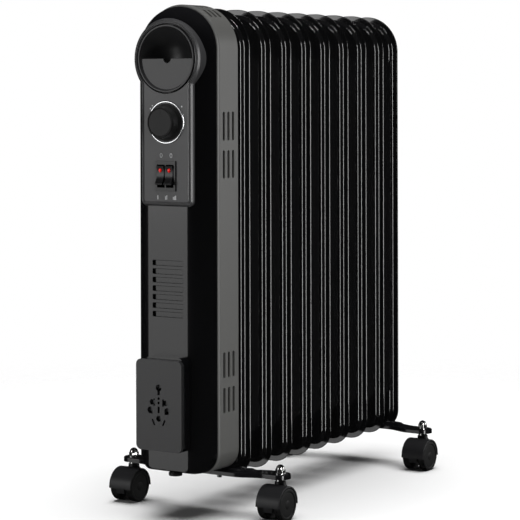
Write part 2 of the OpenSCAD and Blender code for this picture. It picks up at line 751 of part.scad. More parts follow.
module axle(s, t) color([0.7, 0.7, 0.7]) caster(s, t)
    rod_x(axle_r, -wheel_out_x + 2, wheel_out_x - 2, -trail, wheel_r);

// inner is the wheel nearer the middle plane
module wheel(s, t, side) color([0.07, 0.07, 0.072]) caster(s, t) translate([0, -trail, wheel_r])
    rotate([0, side * 90, 0]) translate([0, 0, wheel_in_x]) difference() {
        rotate_extrude() polygon([[axle_r + swivel_gap, 0], [wheel_r - wheel_edge, 0], [wheel_r, wheel_edge],
                                  [wheel_r, wheel_w - 2 * wheel_edge],
                                  [wheel_r - wheel_edge / 2, wheel_w - wheel_edge / 2],
                                  [wheel_r - 2 * wheel_edge, wheel_w], [0, wheel_w], [0, wheel_w - hub_cap_t],
                                  [axle_r + swivel_gap, wheel_w - hub_cap_t]]);
    }

fin(0);  // fin_1
fin(1);  // fin_2
fin(2);  // fin_3
fin(3);  // fin_4
fin(4);  // fin_5
fin(5);  // fin_6
fin(6);  // fin_7
fin(7);  // fin_8
fin(8);  // fin_9
hub_collars(hub_high_z);  // hub_collars_top
hub_collars(hub_low_z);  // hub_collars_bottom
hub_plugs();
oil_filler_plug();
heating_element();
element_flange();
front_cover();
shroud();
back_plate();
control_panel();
handle_pocket();
handle_screw();
knob_ring();
thermostat_knob();
thermostat_shaft();
thermostat_body();
switch_frame();
rocker(-1);  // rocker_left
rocker(1);  // rocker_right
lens(-1);  // lens_left
lens(1);  // lens_right
thermal_cutout();
terminal_block();
cord_gland();
wrap_plate();
wrap_neck();
cover_screws();
front_bracket();
rear_bracket();
u_bolts();
u_bolt_nuts();
acorn_nuts();
washers();
caster_stems();
hood(-1, -1);  // hood_fl
axle(-1, -1);  // axle_fl
wheel(-1, -1, 1);  // wheel_fl_inner
wheel(-1, -1, -1);  // wheel_fl_outer
hood(1, -1);  // hood_fr
axle(1, -1);  // axle_fr
wheel(1, -1, -1);  // wheel_fr_inner
wheel(1, -1, 1);  // wheel_fr_outer
hood(-1, 1);  // hood_rl
axle(-1, 1);  // axle_rl
wheel(-1, 1, 1);  // wheel_rl_inner
wheel(-1, 1, -1);  // wheel_rl_outer
hood(1, 1);  // hood_rr
axle(1, 1);  // axle_rr
wheel(1, 1, -1);  // wheel_rr_inner
wheel(1, 1, 1);  // wheel_rr_outer
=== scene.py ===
import json
import math

import bmesh
import bpy
from mathutils import Matrix, Vector
from mathutils.geometry import tessellate_polygon

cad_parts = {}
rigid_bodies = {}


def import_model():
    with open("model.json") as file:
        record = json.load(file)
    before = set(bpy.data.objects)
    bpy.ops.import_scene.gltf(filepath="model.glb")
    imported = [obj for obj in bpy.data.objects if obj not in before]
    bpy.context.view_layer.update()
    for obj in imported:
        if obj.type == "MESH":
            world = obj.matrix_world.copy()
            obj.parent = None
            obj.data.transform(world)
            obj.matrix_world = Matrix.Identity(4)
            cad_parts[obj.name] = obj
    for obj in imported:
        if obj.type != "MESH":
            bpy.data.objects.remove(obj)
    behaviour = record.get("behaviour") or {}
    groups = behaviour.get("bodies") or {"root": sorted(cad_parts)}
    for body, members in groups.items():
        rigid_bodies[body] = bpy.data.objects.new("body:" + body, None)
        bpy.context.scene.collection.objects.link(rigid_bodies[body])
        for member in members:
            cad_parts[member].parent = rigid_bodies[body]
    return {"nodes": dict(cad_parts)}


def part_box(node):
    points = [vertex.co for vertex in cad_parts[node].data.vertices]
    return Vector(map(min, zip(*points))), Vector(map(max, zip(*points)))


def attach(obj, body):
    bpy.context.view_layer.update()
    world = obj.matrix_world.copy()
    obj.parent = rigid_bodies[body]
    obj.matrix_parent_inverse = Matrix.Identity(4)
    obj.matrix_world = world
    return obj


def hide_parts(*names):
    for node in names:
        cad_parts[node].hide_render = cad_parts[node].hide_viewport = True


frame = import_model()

bpy.context.view_layer.update()
scene = bpy.context.scene
print("frame loaded:", len(frame["nodes"]), "nodes")

# ---------------------------------------------------------------- camera

cameraSet = {
    "place": (1.4116, -2.2864, 0.5390),
    "azimuth": 32.13,   # degrees to the right of the controls
    "roll": 0.14,
    "lens": 138.2,
    "shiftY": -0.3366,
}

cameraData = bpy.data.cameras.new("camera")
cameraData.sensor_width = 36
cameraData.lens = cameraSet["lens"]
cameraData.shift_y = cameraSet["shiftY"]
cameraData.clip_end = 50
camera = bpy.data.objects.new("camera", cameraData)
camera.location = cameraSet["place"]
camera.rotation_euler = (math.pi / 2, math.radians(cameraSet["roll"]), math.radians(cameraSet["azimuth"]))
scene.collection.objects.link(camera)
scene.camera = camera


# ---------------------------------------------------------------- shader maths

class Wire:
    # holds one socket, so that shader maths reads as plain sums
    def __init__(self, tree, socket):
        self.tree = tree
        self.socket = socket

    def node(self, kind, settings=None, inputs=None, output=0):
        made = self.tree.nodes.new(kind)
        for label, value in (settings or {}).items():
            if label == "stops":
                fillRamp(made.color_ramp, value)
            else:
                setattr(made, label, value)
        for label, value in (inputs or {}).items():
            if isinstance(value, Wire):
                self.tree.links.new(value.socket, made.inputs[label])
            else:
                made.inputs[label].default_value = value
        return Wire(self.tree, made.outputs[output])

    def maths(self, operation, first, second):
        return self.node("ShaderNodeMath", {"operation": operation}, {0: first, 1: second})

    def __add__(self, other):
        return self.maths("ADD", self, other)

    def __radd__(self, other):
        return self.maths("ADD", other, self)

    def __sub__(self, other):
        return self.maths("SUBTRACT", self, other)

    def __rsub__(self, other):
        return self.maths("SUBTRACT", other, self)

    def __mul__(self, other):
        return self.maths("MULTIPLY", self, other)

    def __rmul__(self, other):
        return self.maths("MULTIPLY", other, self)

    def into(self, socket):
        self.tree.links.new(self.socket, socket)


def fillRamp(ramp, stops):
    ramp.elements[0].position, ramp.elements[0].color = stops[0]
    ramp.elements[1].position, ramp.elements[1].color = stops[-1]
    for position, colour in stops[1:-1]:
        ramp.elements.new(position).color = colour


def newFinish(name, fixed):
    finish = bpy.data.materials.new(name)
    finish.use_nodes = True
    bsdf = finish.node_tree.nodes["Principled BSDF"]
    for label, value in fixed.items():
        bsdf.inputs[label].default_value = value
    place = finish.node_tree.nodes.new("ShaderNodeTexCoord")
    return finish, bsdf, Wire(finish.node_tree, place.outputs["Object"])


def noise(place, scale, detail=2.0, roughness=0.5):
    return place.node("ShaderNodeTexNoise", {"noise_dimensions": "3D"},
                      {"Vector": place, "Scale": scale, "Detail": detail, "Roughness": roughness})


def blendColour(mask, low, high):
    return mask.node("ShaderNodeMix", {"data_type": "RGBA"},
                     {"Factor": mask, 6: (*low, 1), 7: (*high, 1)}, 2)


def roughen(height, bsdf, strength, depth):
    bump = height.node("ShaderNodeBump", None, {"Height": height, "Strength": strength, "Distance": depth})
    bump.into(bsdf.inputs["Normal"])


# ---------------------------------------------------------------- finishes

def finEnamel():
    # thick gloss powder enamel: slight orange peel, a little uneven in gloss
    finish, bsdf, place = newFinish("fin_enamel_gloss", {"Coat Roughness": 0.04, "Coat Weight": 0.6, "IOR": 1.5})
    cloud = noise(place, 9.0, 3.0)
    peel = noise(place, 260.0, 1.0)
    blendColour(cloud, (0.0020, 0.0020, 0.0022), (0.0036, 0.0036, 0.0038)).into(bsdf.inputs["Base Color"])
    (0.07 + cloud * 0.05 + peel * 0.03).into(bsdf.inputs["Roughness"])
    roughen(peel, bsdf, 0.03, 0.0003)
    return finish


def glossBlack():
    # moulded cover: smooth face with a very fine grain
    finish, bsdf, place = newFinish("gloss_black_moulding", {"Coat Roughness": 0.12, "Coat Weight": 0.25})
    cloud = noise(place, 6.0, 3.0)
    grain = noise(place, 1400.0, 1.0)
    blendColour(cloud, (0.0030, 0.0030, 0.0034), (0.0052, 0.0052, 0.0058)).into(bsdf.inputs["Base Color"])
    (0.16 + cloud * 0.05 + grain * 0.04).into(bsdf.inputs["Roughness"])
    roughen(grain, bsdf, 0.06, 0.0002)
    return finish


def satinGrey():
    # satin paint on folded sheet, with a fine sprayed texture
    finish, bsdf, place = newFinish("satin_grey_paint", {"IOR": 1.5})
    cloud = noise(place, 5.0, 4.0)
    spray = noise(place, 900.0, 2.0)
    blendColour(cloud, (0.050, 0.050, 0.048), (0.064, 0.064, 0.061)).into(bsdf.inputs["Base Color"])
    (0.36 + spray * 0.10 + cloud * 0.04).into(bsdf.inputs["Roughness"])
    roughen(spray, bsdf, 0.10, 0.0002)
    return finish


def mouldedBlack(name, low, high, rough, grainScale, grainStrength, shine=0.5):
    # spark-eroded moulding texture, used for every satin plastic
    finish, bsdf, place = newFinish(name, {"Specular IOR Level": shine})
    cloud = noise(place, 14.0, 3.0)
    grain = noise(place, grainScale, 2.0, 0.6)
    blendColour(cloud * 0.6 + grain * 0.4, low, high).into(bsdf.inputs["Base Color"])
    (rough + cloud * 0.06 + grain * 0.08).into(bsdf.inputs["Roughness"])
    roughen(grain, bsdf, grainStrength, 0.0002)
    return finish


def brushedMetal(name, low, high, rough, stretch):
    # plated or turned metal: fine lines along one direction, faint clouding
    finish, bsdf, place = newFinish(name, {"Metallic": 1.0})
    lines = noise(place.node("ShaderNodeMapping", None, {"Vector": place, "Scale": stretch}), 900.0, 2.0)
    cloud = noise(place, 60.0, 2.0)
    blendColour(cloud, low, high).into(bsdf.inputs["Base Color"])
    (rough + lines * 0.10 + cloud * 0.05).into(bsdf.inputs["Roughness"])
    roughen(lines, bsdf, 0.04, 0.0001)
    return finish


def redLens():
    # clear red cap over a lamp
    finish, bsdf, place = newFinish("lens_red_cap", {"Coat Weight": 1.0, "Coat Roughness": 0.03})
    speck = noise(place, 700.0, 1.0)
    blendColour(speck, (0.55, 0.012, 0.010), (0.80, 0.030, 0.022)).into(bsdf.inputs["Base Color"])
    blendColour(speck, (0.35, 0.006, 0.005), (0.50, 0.012, 0.010)).into(bsdf.inputs["Emission Color"])
    bsdf.inputs["Emission Strength"].default_value = 0.6
    (0.12 + speck * 0.08).into(bsdf.inputs["Roughness"])
    return finish


def whitePrint():
    finish, bsdf, place = newFinish("white_print", {})
    ink = noise(place, 2200.0, 2.0)
    blendColour(ink, (0.66, 0.67, 0.68), (0.82, 0.83, 0.84)).into(bsdf.inputs["Base Color"])
    (0.40 + ink * 0.15).into(bsdf.inputs["Roughness"])
    return finish


finishes = {
    "fin_enamel": finEnamel(),
    "gloss_black": glossBlack(),
    "satin_grey": satinGrey(),
    "panel_black": mouldedBlack("panel_black_satin", (0.022, 0.022, 0.023), (0.031, 0.031, 0.032), 0.26, 1100, 0.06),
    "switch_black": mouldedBlack("switch_black_nylon", (0.006, 0.006, 0.006), (0.010, 0.010, 0.011), 0.24, 900, 0.06),
    "knob_black": mouldedBlack("knob_black_satin", (0.012, 0.012, 0.012), (0.018, 0.018, 0.018), 0.34, 1300, 0.08, 0.25),
    "bracket_black": mouldedBlack("bracket_black_gloss", (0.003, 0.003, 0.003), (0.005, 0.005, 0.006), 0.10, 300, 0.04),
    "caster_black": mouldedBlack("caster_black_nylon", (0.010, 0.010, 0.011), (0.016, 0.016, 0.017), 0.36, 800, 0.12, 0.4),
    "wheel_grey": mouldedBlack("wheel_dark_nylon", (0.005, 0.005, 0.005), (0.009, 0.009, 0.009), 0.44, 700, 0.16, 0.35),
    "ring_silver": brushedMetal("ring_silver_plate", (0.78, 0.79, 0.81), (0.88, 0.89, 0.90), 0.16, (1, 0.2, 1)),
    "chrome_steel": brushedMetal("chrome_plated_steel", (0.74, 0.74, 0.73), (0.84, 0.84, 0.83), 0.13, (1, 1, 0.2)),
    "zinc_steel": brushedMetal("zinc_plated_steel", (0.40, 0.41, 0.42), (0.54, 0.55, 0.55), 0.26, (1, 0.1, 1)),
    "element_copper": brushedMetal("element_sheath_copper", (0.50, 0.24, 0.13), (0.62, 0.32, 0.19), 0.30, (1, 0.1, 1)),
    "ceramic": mouldedBlack("ceramic_terminal_white", (0.62, 0.60, 0.55), (0.72, 0.70, 0.66), 0.30, 500, 0.10),
    "bakelite": mouldedBlack("bakelite_brown", (0.16, 0.10, 0.06), (0.24, 0.16, 0.10), 0.34, 500, 0.10),
    "lens_red": redLens(),
    "print": whitePrint(),
}

for node in frame["nodes"].values():
    for place in node.material_slots:
        place.material = finishes[place.material.name.split(".")[0]]
print("finishes made:", len(finishes))


# ---------------------------------------------------------------- mesh helpers

def smoothStep(value):
    value = min(max(value, 0.0), 1.0)
    return value * value * (3 - 2 * value)


def arc(centreX, centreZ, radius, start, end, steps):
    turns = [math.radians(start + (end - start) * i / steps) for i in range(steps + 1)]
    return [(centreX + radius * math.cos(t), centreZ + radius * math.sin(t)) for t in turns]


def roundedOutline(halfWidth, low, high, lowRadius, highRadius, levels, lowSteps=12, highSteps=20):
    # upright outline; levels are shares of the height of its straight sides
    sideLow = low + lowRadius
    sideHigh = high - highRadius
    right = [(0.0, low), ((halfWidth - lowRadius) * 0.5, low)]
    right += arc(halfWidth - lowRadius, sideLow, lowRadius, -90, 0, lowSteps)
    right += [(halfWidth, sideLow + (sideHigh - sideLow) * share) for share in levels]
    right += arc(halfWidth - highRadius, sideHigh, highRadius, 0, 90, highSteps)
    right += [((halfWidth - highRadius) * 0.5, high), (0.0, high)]
    return right + [(-x, z) for x, z in reversed(right[1:-1])]


def offsetLoop(points, distance):
    # moves a closed outline inwards by the distance, measured square to each side
    moved = []
    for i, (x, z) in enumerate(points):
        before = Vector(points[i - 1])
        after = Vector(points[(i + 1) % len(points)])
        along = (after - before).normalized()
        moved.append((x - along.y * distance, z + along.x * distance))
    return moved


def standing(outline, y):
    return [Vector((x, y, z)) for x, z in outline]


def lying(outline, z):
    return [Vector((x, y, z)) for x, y in outline]


def loft(rings, fillFirst=False, fillLast=False, joinEnds=False):
    count = len(rings[0])
    faces = []
    pairs = [(i, i + 1) for i in range(len(rings) - 1)]
    if joinEnds:
        pairs.append((len(rings) - 1, 0))
    for a, b in pairs:
        for i in range(count):
            j = (i + 1) % count
            faces.append((a * count + i, a * count + j, b * count + j, b * count + i))
    if fillFirst:
        faces.append(tuple(range(count)))
    if fillLast:
        faces.append(tuple(range((len(rings) - 1) * count, len(rings) * count)))
    return [point for ring in rings for point in ring], faces


def lathe(profile, axis, centre, steps=48, closed=False):
    # profile points are (radius, distance along the axis)
    rings = []
    for radius, along in profile:
        ring = []
        for i in range(steps):
            turn = 2 * math.pi * i / steps
            a = radius * math.cos(turn)
            b = radius * math.sin(turn)
            point = {"x": (along, a, b), "y": (a, along, b), "z": (a, b, along)}[axis]
            ring.append(Vector(point) + Vector(centre))
        rings.append(ring)
    return loft(rings, joinEnds=closed)


def flatFace(outline, holes, y):
    # a flat face with holes, as triangles
    loops = [standing(outline, y)] + [standing(hole, y) for hole in holes]
    points = [point for loop in loops for point in loop]
    flat = [[Vector((p.x, p.z, 0)) for p in loop] for loop in loops]
    return points, [tuple(triangle) for triangle in tessellate_polygon(flat)]


def prism(outline, front, back):
    return loft([standing(outline, front), standing(outline, back)], True, True)


def placed(part, matrix):
    return [matrix @ Vector(point) for point in part[0]], part[1]


def rawObject(name, parts, finish):
    mesh = bpy.data.meshes.new(name)
    points = []
    faces = []
    for partPoints, partFaces in parts:
        start = len(points)
        points += [tuple(point) for point in partPoints]
        faces += [tuple(start + i for i in face) for face in partFaces]
    mesh.from_pydata(points, [], faces)
    mesh.materials.append(finish)
    made = bpy.data.objects.new(name, mesh)
    scene.collection.objects.link(made)
    weld(mesh)
    return made


def weld(mesh):
    work = bmesh.new()
    work.from_mesh(mesh)
    bmesh.ops.remove_doubles(work, verts=work.verts, dist=1e-6)
    bmesh.ops.dissolve_degenerate(work, edges=work.edges, dist=1e-7)
    bmesh.ops.recalc_face_normals(work, faces=work.faces)
    work.to_mesh(mesh)
    work.free()


def bake(made):
    # turns what the modifiers make into the object's own mesh
    graph = bpy.context.evaluated_depsgraph_get()
    mesh = bpy.data.meshes.new_from_object(made.evaluated_get(graph))
    made.modifiers.clear()
    made.data = mesh


def roundEdges(made, width, segments=3, limit=32):
    bevel = made.modifiers.new("rounded edges", "BEVEL")
    bevel.limit_method = "ANGLE"
    bevel.angle_limit = math.radians(limit)
    bevel.width = width
    bevel.segments = segments
    bake(made)


def shade(made, angle):
    for face in made.data.polygons:
        face.use_smooth = True
    made.data.set_sharp_from_angle(angle=math.radians(angle))
    evened = made.modifiers.new("even normals", "WEIGHTED_NORMAL")
    evened.keep_sharp = True
    evened.weight = 60
    bake(made)


def finishPiece(made, body, replaced=(), angle=38):
    shade(made, angle)
    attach(made, body)
    if replaced:
        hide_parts(*replaced)
    return made


def cut(made, cutter):
    boolean = made.modifiers.new("cut", "BOOLEAN")
    boolean.operation = "DIFFERENCE"
    boolean.solver = "EXACT"
    boolean.object = cutter
    bake(made)
    bpy.data.objects.remove(cutter)


def refined(node, body, slot, width, segments=3, limit=32):
    # a CAD node's own shape, with its edges rounded as a moulding's or a pressing's are
    source = frame["nodes"][node]
    made = bpy.data.objects.new(node + "_finished", source.data.copy())
    scene.collection.objects.link(made)
    work = bmesh.new()
    work.from_mesh(made.data)
    bmesh.ops.remove_doubles(work, verts=work.verts, dist=1e-6)
    bmesh.ops.dissolve_limit(work, angle_limit=math.radians(0.6), verts=work.verts, edges=work.edges)
    work.to_mesh(made.data)
    work.free()
    made.data.materials.clear()
    made.data.materials.append(finishes[slot])
    roundEdges(made, width, segments, limit)
    return finishPiece(made, body, [node])


# ---------------------------------------------------------------- node trees for what repeats

def startTree(name, sizes):
    tree = bpy.data.node_groups.new(name, "GeometryNodeTree")
    tree.interface.new_socket("Geometry", in_out="INPUT", socket_type="NodeSocketGeometry")
    for label, kind in sizes.items():
        tree.interface.new_socket(label, in_out="INPUT", socket_type="NodeSocket" + kind)
    tree.interface.new_socket("Geometry", in_out="OUTPUT", socket_type="NodeSocketGeometry")
    return tree, tree.nodes.new("NodeGroupInput"), tree.nodes.new("NodeGroupOutput")


def addNode(tree, kind, inputs=None, settings=None):
    made = tree.nodes.new(kind)
    for label, value in (settings or {}).items():
        setattr(made, label, value)
    for label, value in (inputs or {}).items():
        if isinstance(value, bpy.types.NodeSocket):
            tree.links.new(value, made.inputs[label])
        else:
            made.inputs[label].default_value = value
    return made


def endTree(tree, shape, material, outputs):
    real = addNode(tree, "GeometryNodeRealizeInstances", {"Geometry": shape})
    painted = addNode(tree, "GeometryNodeSetMaterial", {"Geometry": real.outputs[0], "Material": material})
    tree.links.new(painted.outputs[0], outputs.inputs[0])
    return tree


def rowTree():
    # copies a shape along a straight row
    sizes = {"Count": "Int", "Step": "Vector", "Finish": "Material"}
    tree, given, outputs = startTree("row of copies", sizes)
    line = addNode(tree, "GeometryNodeMeshLine", {"Count": given.outputs["Count"], "Offset": given.outputs["Step"]})
    copies = addNode(tree, "GeometryNodeInstanceOnPoints",
                     {"Points": line.outputs[0], "Instance": given.outputs["Geometry"]})
    return endTree(tree, copies.outputs[0], given.outputs["Finish"], outputs)


def archTree():
    # copies a shape round the arch of the box, its own Z along the arch's radius
    sizes = {"Count": "Int", "First Angle": "Float", "Angle Step": "Float", "Radius": "Float",
             "Centre": "Vector", "Finish": "Material"}
    tree, given, outputs = startTree("copies round an arch", sizes)
    line = addNode(tree, "GeometryNodeMeshLine", {"Count": given.outputs["Count"]})
    index = addNode(tree, "GeometryNodeInputIndex")
    turn = addNode(tree, "ShaderNodeMath", {0: index.outputs[0], 1: given.outputs["Angle Step"],
                                            2: given.outputs["First Angle"]}, {"operation": "MULTIPLY_ADD"})
    across = addNode(tree, "ShaderNodeMath", {0: turn.outputs[0]}, {"operation": "SINE"})
    upwards = addNode(tree, "ShaderNodeMath", {0: turn.outputs[0]}, {"operation": "COSINE"})
    way = addNode(tree, "ShaderNodeCombineXYZ", {"X": across.outputs[0], "Z": upwards.outputs[0]})
    out = addNode(tree, "ShaderNodeVectorMath", {0: way.outputs[0], "Scale": given.outputs["Radius"]},
                  {"operation": "SCALE"})
    place = addNode(tree, "ShaderNodeVectorMath", {0: out.outputs[0], 1: given.outputs["Centre"]},
                    {"operation": "ADD"})
    moved = addNode(tree, "GeometryNodeSetPosition", {"Geometry": line.outputs[0], "Position": place.outputs[0]})
    lean = addNode(tree, "ShaderNodeCombineXYZ", {"Y": turn.outputs[0]})
    copies = addNode(tree, "GeometryNodeInstanceOnPoints",
                     {"Points": moved.outputs[0], "Instance": given.outputs["Geometry"],
                      "Rotation": lean.outputs[0]})
    return endTree(tree, copies.outputs[0], given.outputs["Finish"], outputs)


def cornersTree():
    # one fastener at each of four corners, each turned by its own random angle
    sizes = {"Half Width": "Float", "Front": "Float", "Rear": "Float", "Seed": "Int", "Finish": "Material"}
    tree, given, outputs = startTree("fasteners at four corners", sizes)
    line = addNode(tree, "GeometryNodeMeshLine", {"Count": 4})
    index = addNode(tree, "GeometryNodeInputIndex")
    side = addNode(tree, "ShaderNodeMath", {0: index.outputs[0], 1: 2.0}, {"operation": "MODULO"})
    signed = addNode(tree, "ShaderNodeMath", {0: side.outputs[0], 1: 2.0, 2: -1.0}, {"operation": "MULTIPLY_ADD"})
    across = addNode(tree, "ShaderNodeMath", {0: signed.outputs[0], 1: given.outputs["Half Width"]},
                     {"operation": "MULTIPLY"})
    behind = addNode(tree, "ShaderNodeMath", {0: index.outputs[0], 1: 1.5}, {"operation": "GREATER_THAN"})
    along = addNode(tree, "ShaderNodeMapRange", {"Value": behind.outputs[0], "To Min": given.outputs["Front"],
                                                 "To Max": given.outputs["Rear"]})
    place = addNode(tree, "ShaderNodeCombineXYZ", {"X": across.outputs[0], "Y": along.outputs[0]})
    moved = addNode(tree, "GeometryNodeSetPosition", {"Geometry": line.outputs[0], "Position": place.outputs[0]})
    spin = addNode(tree, "FunctionNodeRandomValue", {"Max": 1.05, "Seed": given.outputs["Seed"]})
    lean = addNode(tree, "ShaderNodeCombineXYZ", {"Z": spin.outputs[1]})
    copies = addNode(tree, "GeometryNodeInstanceOnPoints",
                     {"Points": moved.outputs[0], "Instance": given.outputs["Geometry"],
                      "Rotation": lean.outputs[0]})
    return endTree(tree, copies.outputs[0], given.outputs["Finish"], outputs)


trees = {"row": rowTree(), "arch": archTree(), "corners": cornersTree()}


def grow(made, treeName, sizes):
    # runs a tree on the object's mesh; its inputs are set by their identifiers
    tree = trees[treeName]
    modifier = made.modifiers.new(treeName, "NODES")
    modifier.node_group = tree
    for item in tree.interface.items_tree:
        if item.in_out == "INPUT" and item.name in sizes:
            modifier[item.identifier] = sizes[item.name]
    bake(made)


print("node trees made:", len(trees))


# ---------------------------------------------------------------- fins

fin = {
    "lowRadius": 0.027,
    "highRadius": 0.053,
    "chamber": 0.0054,       # how far the chamber stands proud of the rim
    "rimFlat": 0.0068,       # flat rim, from the edge to the foot of the slope
    "slope": 0.0046,
    "slopeSteps": 9,
    "sheet": 0.0012,
    "bend": 0.0026,
    "wing": 0.0210,
    "lip": 0.0018,           # depth of the rim where there is no wing
    "wingLow": 0.061,        # from the lowest and the highest point of the fin
    "wingHigh": 0.066,
    "wingCut": 0.0055,
    "wingTail": 0.0170,
    "hem": 0.0034,
    "channelHalf": 0.0095,   # weld channel down the middle of the chamber
    "channelDepth": 0.0034,
    "channelEnds": 0.040,    # from a hub line to the channel's end
}


def finLevels(sideLow, sideHigh, wingLow, wingHigh):
    # close together where the wings end, wide apart between
    steps = [-0.026, -0.022, -0.018, -0.014, -0.010, -0.0075, -0.0055, -0.0045, -0.0035, -0.0028, -0.002,
             -0.0012, -0.0006, 0.0, 0.0008, 0.004]
    lows = [wingLow + step for step in steps]
    highs = [wingHigh - step for step in reversed(steps)]
    middles = [wingLow + (wingHigh - wingLow) * share for share in (0.15, 0.35, 0.55, 0.75, 0.9)]
    return [(z - sideLow) / (sideHigh - sideLow) for z in lows + middles + highs if sideLow < z < sideHigh]


def wingDepth(x, z, halfWidth, wingLow, wingHigh, winged):
    beyond = max(wingLow - z, z - wingHigh, 0.0)
    if not winged or abs(x) < halfWidth * 0.9:
        return fin["lip"]
    throat = 0.0046
    if beyond < fin["wingCut"]:
        return fin["wing"] + (throat - fin["wing"]) * smoothStep(beyond / fin["wingCut"])
    return throat + (fin["lip"] - throat) * smoothStep((beyond - fin["wingCut"]) / fin["wingTail"])


def finShell(node, winged):
    low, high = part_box(node)
    halfWidth = high.x
    bendY = low.y + fin["chamber"]
    wingLow = low.z + fin["wingLow"]
    wingHigh = high.z - fin["wingHigh"]
    highRadius = min(fin["highRadius"], halfWidth - 0.0002)
    levels = finLevels(low.z + fin["lowRadius"], high.z - highRadius, wingLow, wingHigh)

    def edgeAt(inset):
        return roundedOutline(halfWidth - inset, low.z + inset, high.z - inset, fin["lowRadius"] - inset,
                              highRadius - inset, levels)

    edge = edgeAt(0.0)
    step = 0.001
    inwards = [((b[0] - a[0]) / step, (b[1] - a[1]) / step) for a, b in zip(edge, edgeAt(step))]
    depths = [wingDepth(x, z, halfWidth, wingLow, wingHigh, winged) for x, z in edge]

    def ring(insetAndDepth):
        made = []
        for (x, z), (nx, nz), depth in zip(edge, inwards, depths):
            inset, y = insetAndDepth(depth)
            made.append(Vector((x + nx * inset, bendY + y, z + nz * inset)))
        return made

    def channelRing(half, y):
        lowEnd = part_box("hub_collars_bottom")[1].z + fin["channelEnds"] + fin["channelHalf"] - half
        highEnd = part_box("hub_collars_top")[0].z - fin["channelEnds"] - fin["channelHalf"] + half
        return standing(roundedOutline(half, lowEnd, highEnd, half * 0.999, half * 0.999, levels), bendY + y)

    def face(base, side):
        # rings from the middle of one face of the chamber out to the rim
        top = base + side * fin["chamber"]
        floor = top - side * fin["channelDepth"]
        half = fin["channelHalf"]
        rings = [channelRing(half * 0.30, floor)]
        for i in range(7):
            share = i / 6
            rings.append(channelRing(half * (0.45 + 0.55 * share), floor + (top - floor) * smoothStep(share)))
        for i in range(fin["slopeSteps"] + 1):
            share = 1 - i / fin["slopeSteps"]
            inset = fin["rimFlat"] + fin["slope"] * share
            y = base + side * fin["chamber"] * smoothStep(share)
            rings.append(ring(lambda depth, inset=inset, y=y: (inset, y)))
        return rings

    def whole(depth):
        return (depth - fin["lip"]) / (fin["wing"] - fin["lip"])

    def bendRing(turn):
        def place(depth):
            radius = min(fin["bend"], depth * 0.40)
            return radius * (1 - math.sin(turn)), radius * (1 - math.cos(turn))
        return ring(place)

    def hemRing(kind):
        def place(depth):
            k = whole(depth)
            half = 0.0006 + 0.0002 * k
            hem = fin["hem"] * k
            radius = min(fin["bend"], depth * 0.40)
            return {
                "start": (0.0003 * k, radius + 0.0006 * k),
                "before": (0.0003 * k, depth - hem - 0.0006 * k - half * (1 - k)),
                "step": (0.0, depth - hem - half * (1 - k)),
                "corner": (0.0, depth - half),
                "outer": (half * 0.30, depth - half * 0.30),
                "rear": (half, depth),
                "inner": (half * 1.70, depth - half * 0.30),
                "back": (half * 2, depth - half),
                "return": (half * 2, depth - hem - half * (1 - k)),
                "sheet": (0.0012, depth - hem - 0.0006 * k - half * (1 - k)),
                "foot": (0.0012, fin["sheet"] + 0.0006 * k),
                "rim": (0.0022, fin["sheet"]),
            }[kind]
        return ring(place)

    rings = face(0.0, -1)
    rings += [bendRing(math.radians(turn)) for turn in range(0, 91, 15)]
    rings += [hemRing(kind) for kind in ("start", "before", "step", "corner", "outer", "rear", "inner", "back",
                                         "return", "sheet", "foot", "rim")]
    rings += reversed(face(fin["sheet"], 1))
    return loft(rings, True, True)


def makeFins():
    names = sorted(n for n in frame["nodes"] if n.startswith("fin_"))
    pitch = (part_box(names[-1])[0].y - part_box(names[0])[0].y) / (len(names) - 1)
    made = rawObject("fins_with_wings", [finShell(names[0], True)], finishes["fin_enamel"])
    grow(made, "row", {"Count": len(names) - 1, "Step": (0, pitch, 0), "Finish": finishes["fin_enamel"]})
    finishPiece(made, "body", names[:-1], angle=50)
    # the last fin closes the row, so it has no wings
    last = rawObject("end_fin", [finShell(names[-1], False)], finishes["fin_enamel"])
    finishPiece(last, "body", names[-1:], angle=50)
    return pitch


finPitch = makeFins()
print("fins made, pitch", round(finPitch, 4))


# ---------------------------------------------------------------- hubs

hub = {"rings": 8, "bead": 0.0022, "beadLength": 0.0035, "passage": 0.017, "steps": 64}


def makeCollars(node):
    # rings between the fins, flared where they are welded to the chambers
    low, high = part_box(node)
    radius = high.x
    start = low.y
    end = high.y - (hub["rings"] - 1) * finPitch
    bead = hub["bead"]
    profile = [(radius + bead, start)]
    for i in range(1, 6):
        share = i / 5
        profile.append((radius + bead * (1 - share) ** 2, start + hub["beadLength"] * share))
    profile += [(r, start + end - y) for r, y in reversed(profile)]
    profile += [(hub["passage"], end), (hub["passage"], start)]
    centre = (0, 0, (low.z + high.z) / 2)
    made = rawObject(node + "_welded", [lathe(profile, "y", centre, hub["steps"], True)], finishes["fin_enamel"])
    grow(made, "row", {"Count": hub["rings"], "Step": (0, finPitch, 0), "Finish": finishes["fin_enamel"]})
    finishPiece(made, "body", [node])


makeCollars("hub_collars_top")
makeCollars("hub_collars_bottom")
refined("hub_plugs", "body", "fin_enamel", 0.0008)
refined("oil_filler_plug", "body", "fin_enamel", 0.0008)
print("hubs made")


# ---------------------------------------------------------------- front cover

cover = {
    "step": 0.0025,          # the cover is this much narrower than the shroud on each side
    "flatHalf": 0.0295,
    "crease": 82,            # where the rounded side meets the flat face, in degrees
    "lowRadius": 0.026,
    "bottomRound": 0.0050,
    "wall": 0.0025,
    "frontWall": 0.0060,
    "sections": 18,
    "louvres": 7,
    "louvrePitch": 0.0106,
    "louvreLow": 0.255,
    "louvreHalf": 0.0225,
    "louvreHeight": 0.0030,
    "louvreDepth": 0.0036,
    "louvreMouth": 0.0005,
}

